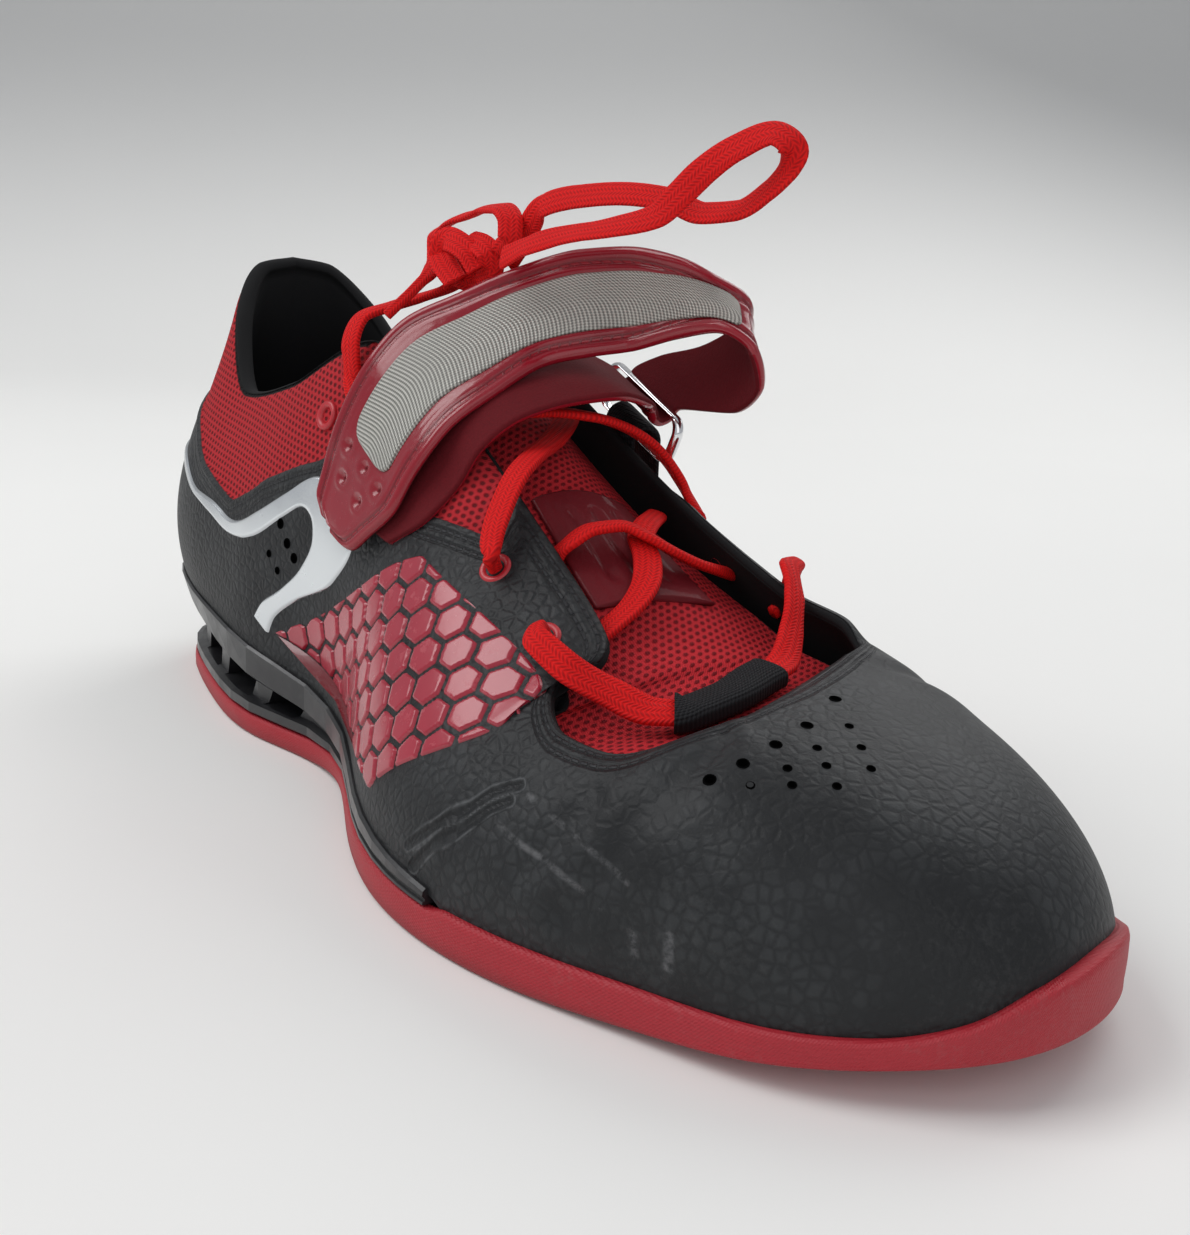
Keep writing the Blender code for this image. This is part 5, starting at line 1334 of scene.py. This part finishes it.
def buildRing():
    # Rounded rectangle path swept by a circle.
    piece = ringPiece
    cosine, sine = circle(piece["path"])
    u = np.sign(cosine) * (piece["halfLong"] - piece["corner"]) + piece["corner"] * cosine
    v = np.sign(sine) * (piece["halfTall"] - piece["corner"]) + piece["corner"] * sine
    longWay, tallWay, middle = (np.array(piece[key]) for key in ("long", "tall", "middle"))
    path = middle + u[:, None] * longWay + v[:, None] * tallWay
    plane = unit(np.cross(longWay, tallWay))
    out = unit(path - middle)
    cosine, sine = circle(piece["sides"])
    points = path[:, None] + piece["wire"] * (out[:, None] * cosine[None, :, None]
                                              + plane * sine[None, :, None])
    return grid("ringWire", points, surface("chrome", chromeMaterial), True, True, uv=points[..., :2])


ringWire = buildRing()
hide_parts("d_ring")


def webbingMaterial(n, place, cloth):
    # Black webbing: fine ribs along and a slanted weave.
    x, y = n.split(cloth)[:2]
    ribs = n.sine(n.plus(n.times(y, 7.0), n.times(x, 2.0)))
    cross = n.sine(n.times(x, 8.5))
    height = n.plus(ribs, cross)
    return {"Base Color": n.mix(n.ramp(height, -1.5, 1.5), (0.004, 0.004, 0.005), (0.015, 0.015, 0.017)),
            "Roughness": 0.85, "Specular IOR Level": 0.25, "Normal": n.bump(height, 0.6, 0.00015)}


webbing = surface("webbing", webbingMaterial)


tabPiece = dict(rows=90, across=18, forward=2.3, wide=13.0, thick=1.25)


def buildTab():
    # Webbing path round the lower bar, straight across.
    piece = tabPiece
    at = np.linspace(0, len(tabRows) - 1, piece["rows"])
    side, up = tableAt(tabRows, tabColumns, at).values()
    path = np.stack([np.full(len(at), piece["forward"]), side, up], -1)
    across = np.linspace(0, 1, piece["across"])
    sideways = (across * piece["wide"] - piece["wide"] / 2)[None, :, None]
    face = path[:, None] + sideways * np.array(ringPiece["long"])
    through = faceNormal(face)
    points = plateSection(face, -through, np.zeros((1, len(across))), -piece["thick"], across, 0.08)
    uv = folded(np.stack([measured(face, 1), measured(face, 0)], -1))
    return grid("tabWebbing", capped(points), webbing, wrapCols=True, uv=ended(uv))


tabWebbing = buildTab()
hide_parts("ring_tab")
print("strap done")


# eyelets
def eyeletMaterial(n, place, cloth):
    # Satin red plastic.
    cloud = n.noise(place, 400.0, 3.0, 0.6)
    return {"Base Color": n.mix(cloud, (0.40, 0.016, 0.024), (0.52, 0.024, 0.034)), "Roughness": 0.36}


eyeletPlastic = surface("eyeletRed", eyeletMaterial)


def eyeletFrame(angle, share):
    # Spot on the wall, its normal, two directions in the wall, and the wall's rise nearby.
    spot = upperPoint(angle, share)
    a, s = np.meshgrid(angle + np.linspace(-8, 8, 33), share + np.linspace(-0.2, 0.2, 33), indexing="ij")
    near = upperPoint(a, np.clip(s, 0, 1)) - spot
    out = unit(np.cross(near[17, 16] - near[15, 16], near[16, 17] - near[16, 15]))
    out *= np.sign(out @ (upperOffset(angle, share, 1.0) - spot))
    up = unit(np.cross(out, (1.0, 0.0, 0.0)))
    rise = (near[np.linalg.norm(near, axis=-1) < 4.0] @ out).max()
    return spot, out, up, np.cross(up, out), rise


eyeletPiece = dict(sides=40, sunk=0.35, radii=(3.35, 3.42, 3.3, 2.9, 2.4, 1.95, 1.7, 1.62, 1.6),
                   heights=(0.3, 0.8, 1.25, 1.5, 1.45, 1.15, 0.6, -0.2, -1.6))


def buildEyelet(number, angle, share):
    # Turned ring: a rounded flange that dips into the hole, from its radii and heights.
    spot, out, up, side, rise = eyeletFrame(angle, share)
    radii, heights = np.array(eyeletPiece["radii"]), np.array(eyeletPiece["heights"])
    cosine, sine = circle(eyeletPiece["sides"])
    spokes = up * cosine[:, None] + side * sine[:, None]
    foot = spot + out * (rise - eyeletPiece["sunk"])
    points = foot[None, None] + spokes[:, None] * radii[None, :, None] + out * heights[None, :, None]
    ringItem = grid("eyeletRing%d" % number, points, eyeletPlastic, wrapRows=True, uv=points[..., :2])
    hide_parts("eyelet_%d" % number)


for number, (angle, share) in enumerate(eyeletRows):
    buildEyelet(number, angle, share)
print("eyelets done")

# laces: flat braids through the eyelets, and the free bow
lacePiece = dict(thick=1.05, sides=40, rows=160)
laceRuns = dict(lace_bar_front=(0, 3), lace_cross_low=(None, None), lace_cross_high=(None, None),
                lace_rise=(1, None), lace_over=(5, None), lace_top=(None, None))


def laceMaterial(n, place, cloth):
    # Bright red braid: cords cos(2 pi x / 1.15) along, threads sin(2 pi (y + slant) / 0.85) across.
    x, y = n.split(cloth)[:2]
    cords = n.cosine(n.times(x, 6.2832 / 1.15))
    slant = n.times(n.size(n.minus(n.fract(n.over(x, 2.3)), 0.5)), 2.3)
    threads = n.sine(n.times(n.plus(y, slant), 6.2832 / 0.85))
    fine = n.noise(place, 2600.0, 2.0, 0.6)
    soft = n.noise(place, 70.0, 3.0, 0.6)
    weave = n.plus(n.times(cords, 0.4), n.times(threads, 0.6))
    color = n.mix(n.ramp(weave, -0.9, 0.5), (0.40, 0.004, 0.005), (0.80, 0.008, 0.007))
    color = n.tint(color, soft, 0.4, (0.50, 0.005, 0.007))
    return {"Base Color": color, "Roughness": 0.74, "Specular IOR Level": 0.2,
            "Normal": n.bump(n.plus(weave, n.times(fine, 0.4)), 0.6, 0.00016)}


laceBraid = surface("laceBraid", laceMaterial)


def frameAlong(path, facing):
    # Across and out of a flat cord: out is the facing made square to the path.
    along = unit(np.gradient(path, axis=0))
    out = unit(facing - along * np.sum(facing * along, -1, keepdims=True))
    return np.cross(along, out), out


def ribbon(name, path, facing, halfWide, halfThick, material):
    # Flat cord: section (w |cos|^0.8, h |sin|^0.7), ends drawn in.
    across, out = frameAlong(path, facing)
    cosine, sine = circle(lacePiece["sides"])
    side, rise = powered(cosine, 0.8), powered(sine, 0.7)
    wide = np.broadcast_to(halfWide, (len(path),))[:, None, None]
    thick = np.broadcast_to(halfThick, (len(path),))[:, None, None]
    points = path[:, None] + across[:, None] * wide * side[None, :, None] \
        + out[:, None] * thick * rise[None, :, None]
    along = np.repeat(measured(path, 0)[:, None], lacePiece["sides"], 1)
    uv = np.stack([wide[..., 0] * side[None] + 3.5, along], -1)
    return grid(name, capped(points), material, wrapCols=True, uv=ended(uv), flip=True)


def smoothPath(rows, count):
    # Monotone cubic through each column of a table, at places even in the length of its x, y, z.
    table = np.array(rows, float)
    keys = measured(table[:, :3], 0)
    at = np.linspace(0, keys[-1], count)
    return np.stack([gentle(keys, line, at) for line in table.T], -1)


def facingOut(path):
    # Each point minus the point beside it on a line along x, 20 mm up: away from the foot.
    return path - np.stack([path[:, 0], np.zeros(len(path)), np.full(len(path), 20.0)], -1)


def laceRun(rows, first, last):
    # Path, half widths and facing of a lace table, led down through the eyelets at its ends.
    table = list(rows)
    for number, front in ((first, True), (last, False)):
        if number is None:
            continue
        spot, out, _, _, rise = eyeletFrame(*eyeletRows[number])
        hole = spot + out * (rise - eyeletPiece["sunk"])
        lead = [tuple(hole - out * 2.4) + (1.35,), tuple(hole + out * 1.2) + (1.45,)]
        table = lead + table if front else table + lead[::-1]
    made = smoothPath(table, lacePiece["rows"])
    return made[:, :3], made[:, 3], facingOut(made[:, :3])


for name, rows in laceTables.items():
    path, halfWide, facing = laceRun(rows, *laceRuns[name])
    thick = lacePiece["thick"] + 0.35 * smooth(2.6, 1.6, halfWide)
    run = ribbon(name.replace("lace_", "laceRun_"), path, facing, halfWide, thick, laceBraid)
    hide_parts(name)
print("laces done")

# woven tag round the front lace
tagPiece = dict(span=(4.5, 7.5), rows=60, sides=48, half=1.15, spare=0.35, wall=0.8)


def buildTag():
    # Sleeve round the front lace between two of its rows, outer and inner face joined at the ends.
    at = np.linspace(*tagPiece["span"], tagPiece["rows"])
    *place, halfWide = tableAt(laceTables["lace_bar_front"], laceColumns, at).values()
    path = np.stack(place, -1)
    across, out = frameAlong(path, facingOut(path))
    cosine, sine = circle(tagPiece["sides"])
    side, rise = powered(cosine, 0.7), powered(sine, 0.6)

    def shell(extra):
        return path[:, None] + across[:, None] * (halfWide + extra)[:, None, None] * side[None, :, None] \
            + out[:, None] * (tagPiece["half"] + extra) * rise[None, :, None]

    outer, inner = shell(tagPiece["spare"] + tagPiece["wall"]), shell(tagPiece["spare"])
    points = np.concatenate([inner[:1], outer, inner[::-1]], 0)
    along = measured(points, 0)
    uv = np.stack([np.broadcast_to(side * 5, along.shape), along], -1)
    return grid("laceTag", points, webbing, wrapCols=True, uv=uv, flip=True)


laceTag = buildTag()
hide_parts("lace_tag")


def bowRibbon(name, rows, count, wide, lean, thick=None):
    # Flat cord through a table, its flat side towards the front, leaning by a table of vectors.
    path = smoothPath(rows, count)
    share = np.linspace(0, 1, count)
    facing = np.array(bowPiece["facing"]) + np.stack(
        [np.interp(share, np.linspace(0, 1, len(lean)), [row[i] for row in lean]) for i in range(3)], -1)
    halfWide = np.interp(share, np.linspace(0, 1, len(wide)), wide)
    thick = (bowPiece["thick"],) if thick is None else thick
    halfThick = np.interp(share, np.linspace(0, 1, len(thick)), thick)
    made = ribbon(name, path, facing, halfWide, halfThick, laceBraid)
    return made


def declared(name):
    # The cord's row points in metres, not used further; the imported cord is hidden.
    path = rowFrame(smoothPath(cordTables[name], 80))
    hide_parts(name)


bowPiece = dict(facing=(0.78, -0.57, 0.25), thick=0.75, width=0.0056)
knotBands = {
    "knotWrap": ((-19.6, -4.0, 111.6), (-24.6, -7.0, 114.2), (-25.6, -8.6, 118.0), (-22.0, -8.8, 120.4),
                 (-16.4, -7.6, 118.4), (-13.8, -6.2, 114.6)),
    "knotBand": ((-28.0, -8.2, 118.6), (-23.0, -9.4, 115.2), (-18.2, -9.2, 111.8)),
}


def buildBow():
    # Ring of the knot, two bands over it, short loop with its narrow tip, long loop.
    knot = bowRibbon("laceKnot", cordTables["lace_knot"], 120, (2.6, 2.8, 2.8), ((0, 0, 0), (0, 0, 0.4)))
    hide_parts("lace_knot")
    bands = [bowRibbon(name, rows, 90, (2.6, 2.9, 2.6), ((0, 0, -0.3), (0, 0, 0.3)))
             for name, rows in knotBands.items()]
    small = bowRibbon("laceLoopSmall", cordTables["lace_loop_small"], 220,
                      (1.1, 1.1, 1.2, 2.4, 2.8, 2.8, 2.8, 2.8, 2.8, 2.8, 2.6, 2.6),
                      ((0, 0, 0), (0, 0, 0), (-0.6, 0, 0.2), (-0.5, 0.2, 0.8), (-0.3, 0.2, 1.4),
                       (0, 0, 1.2), (0.4, 0, 0)),
                      (1.0, 1.0, 0.9, 0.75, 0.75, 0.75, 0.75, 0.75, 0.75))
    long = bowRibbon("laceLoopLong", cordTables["lace_loop_long"], 320, (2.6, 2.8, 2.8, 2.8, 2.8, 2.8, 2.6),
                     ((0, 0, 0.2), (0, 0, 0.3), (0, 0, 0.5), (-0.2, 0, 0.6), (0, 0, 0.2),
                      (0, 0, 0.8), (0, 0, 0.2)))
    declared("lace_loop_small")
    declared("lace_loop_long")


buildBow()
print("bow done")

# vent holes of the toe: dark cups a hair above the leather, their darkness painted shade for the holes'
# depth
ventRows = ((146.5, .73), (152, .77), (160.5, .82), (170, .86), (184, .905), (152, .70), (160, .74),
            (168, .785), (177.5, .82), (159, .69), (167, .73), (175, .755), (166, .67), (173, .695))
trimHoles = ((67, .495), (68.7, .437), (70.2, .40), (66.4, .40), (68.2, .352))


def cupMaterial(n, place, cloth):
    # Painted shade standing in for a punched hole's depth: near black, darkest in the middle, a little less
    # dark at the rim.
    rim = n.ramp(n.split(cloth)[1], 0.55, 1.0)
    return {"Base Color": n.mix(rim, (0.0006, 0.0006, 0.0006), (0.004, 0.004, 0.004)), "Roughness": 0.95,
            "Specular IOR Level": 0.0,
            "Normal": n.bump(n.noise(place, 3000.0), 0.3, 0.0001)}


cupShade = surface("holeShade", cupMaterial)


holePiece = dict(sides=20, shares=(1.0, 0.9, 0.7, 0.35, 0.02), lift=(-0.25, 0.06, 0.03, 0.0, 0.0))


def buildHoles(name, spots, radii, rest):
    # Sunk discs round spots of the upper: rings of radius r s at rest + lift above the wall.
    spots = np.array(spots)
    radii = np.broadcast_to(radii, len(spots))
    cosine, sine = circle(holePiece["sides"])
    shares, lift = np.array(holePiece["shares"]), np.array(holePiece["lift"])
    spot, out = upperPoint(spots[:, 0], spots[:, 1]), upperNormal(spots[:, 0], spots[:, 1])
    first = unit(np.cross(out, (0, 0, 1.0)))
    second = np.cross(out, first)
    spokes = first[:, None] * cosine[None, :, None] + second[:, None] * sine[None, :, None]
    reach = (radii[:, None] * shares)[:, None, :, None]
    points = spot[:, None, None] + spokes[:, :, None] * reach + out[:, None, None] * (rest + lift)[:, None]
    uv = np.stack([np.zeros(points.shape[:3]), np.broadcast_to(shares, points.shape[:3])], -1)
    made = grid(name, points, cupShade, wrapRows=True, uv=uv)


buildHoles("toeVents", ventRows[2:], (1.2,) * 3 + (0.85,) * 9, 1.02)
buildHoles("rearVents", ventRows[:2], 1.2, 1.27)
buildHoles("trimVents", trimHoles + mirroredLine(trimHoles), (1.35, 1.35, 1.35, 1.0, 1.0) * 2, 1.02)
print("holes ready")

# floor, light, sizes
floorPiece = dict(flat=0.74, bend=0.9, back=2.4, wide=2.6, near=-1.2)


def floorMaterial(n, place, cloth):
    # Matte white paper with a faint tone, greyer higher up.
    tone = n.noise(place, 3.0, 3.0, 0.5)
    color = n.mix(tone, (0.86, 0.855, 0.83), (0.90, 0.895, 0.87))
    color = n.mix(n.ramp(n.split(place)[2], 0.01, 0.35), color, (0.56, 0.56, 0.55))
    return {"Base Color": color, "Roughness": 0.8,
            "Normal": n.bump(n.noise(place, 900.0), 0.05, 0.0001)}


def buildFloor():
    # Paper sweep square to the view: flat, then a quarter circle, then straight up.
    piece = floorPiece
    turn = math.radians(cameraView["azimuth"])
    ahead, right = np.array([-math.sin(turn), math.cos(turn)]), np.array([math.cos(turn), math.sin(turn)])
    bend = np.linspace(0, math.pi / 2, 24)
    away = np.concatenate([np.linspace(piece["near"], piece["flat"], 8),
                           piece["flat"] + piece["bend"] * np.sin(bend)[1:],
                           [piece["flat"] + piece["bend"]]])
    high = np.concatenate([np.zeros(8), piece["bend"] * (1 - np.cos(bend))[1:], [piece["back"]]])
    side = np.linspace(-piece["wide"], piece["wide"], 12)
    flat = away[:, None, None] * ahead + side[None, :, None] * right
    points = np.concatenate([flat, np.broadcast_to(high[:, None, None], flat.shape[:2] + (1,))], -1)
    mesh = bpy.data.meshes.new("floor")
    index = np.arange(points[..., 0].size).reshape(points.shape[:2])
    quads = np.stack([index[:-1, :-1], index[:-1, 1:], index[1:, 1:], index[1:, :-1]], -1).reshape(-1, 4)
    mesh.from_pydata(points.reshape(-1, 3).tolist(), [], quads.tolist())
    mesh.polygons.foreach_set("use_smooth", np.ones(len(quads), bool))
    mesh.materials.append(surface("floorPaper", floorMaterial))
    floor = bpy.data.objects.new("floor", mesh)
    bpy.context.scene.collection.objects.link(floor)


def addLight(name, place, target, size, energy):
    # Square area lamp at a place, aimed at a target.
    data = bpy.data.lights.new(name, "AREA")
    data.size, data.energy = size, energy
    lamp = bpy.data.objects.new(name, data)
    aim = Vector(target) - Vector(place)
    lamp.matrix_world = Matrix.Translation(place) @ aim.to_track_quat("-Z", "Y").to_matrix().to_4x4()
    bpy.context.scene.collection.objects.link(lamp)


# lamps: place, target, size in metres, power in watts
lampTable = dict(
    keyLamp=((-0.5, -0.75, 1.1), (0, 0, 0.05), 0.9, 9.5),
    backLamp=((-0.3, 0.9, 0.9), (0, 0, 0.06), 0.9, 5.0),
    fillLamp=((1.1, -0.6, 0.7), (0, 0, 0.05), 1.2, 3.2))
skyLight = dict(color=(0.93, 0.95, 1.0, 1.0), strength=0.45)

buildFloor()
for name, values in lampTable.items():
    addLight(name, *values)
world = bpy.data.worlds.new("studio")
world.use_nodes = True
background = world.node_tree.nodes["Background"]
background.inputs["Color"].default_value = skyLight["color"]
background.inputs["Strength"].default_value = skyLight["strength"]
bpy.context.scene.world = world
bpy.context.scene.view_settings.view_transform = "Standard"
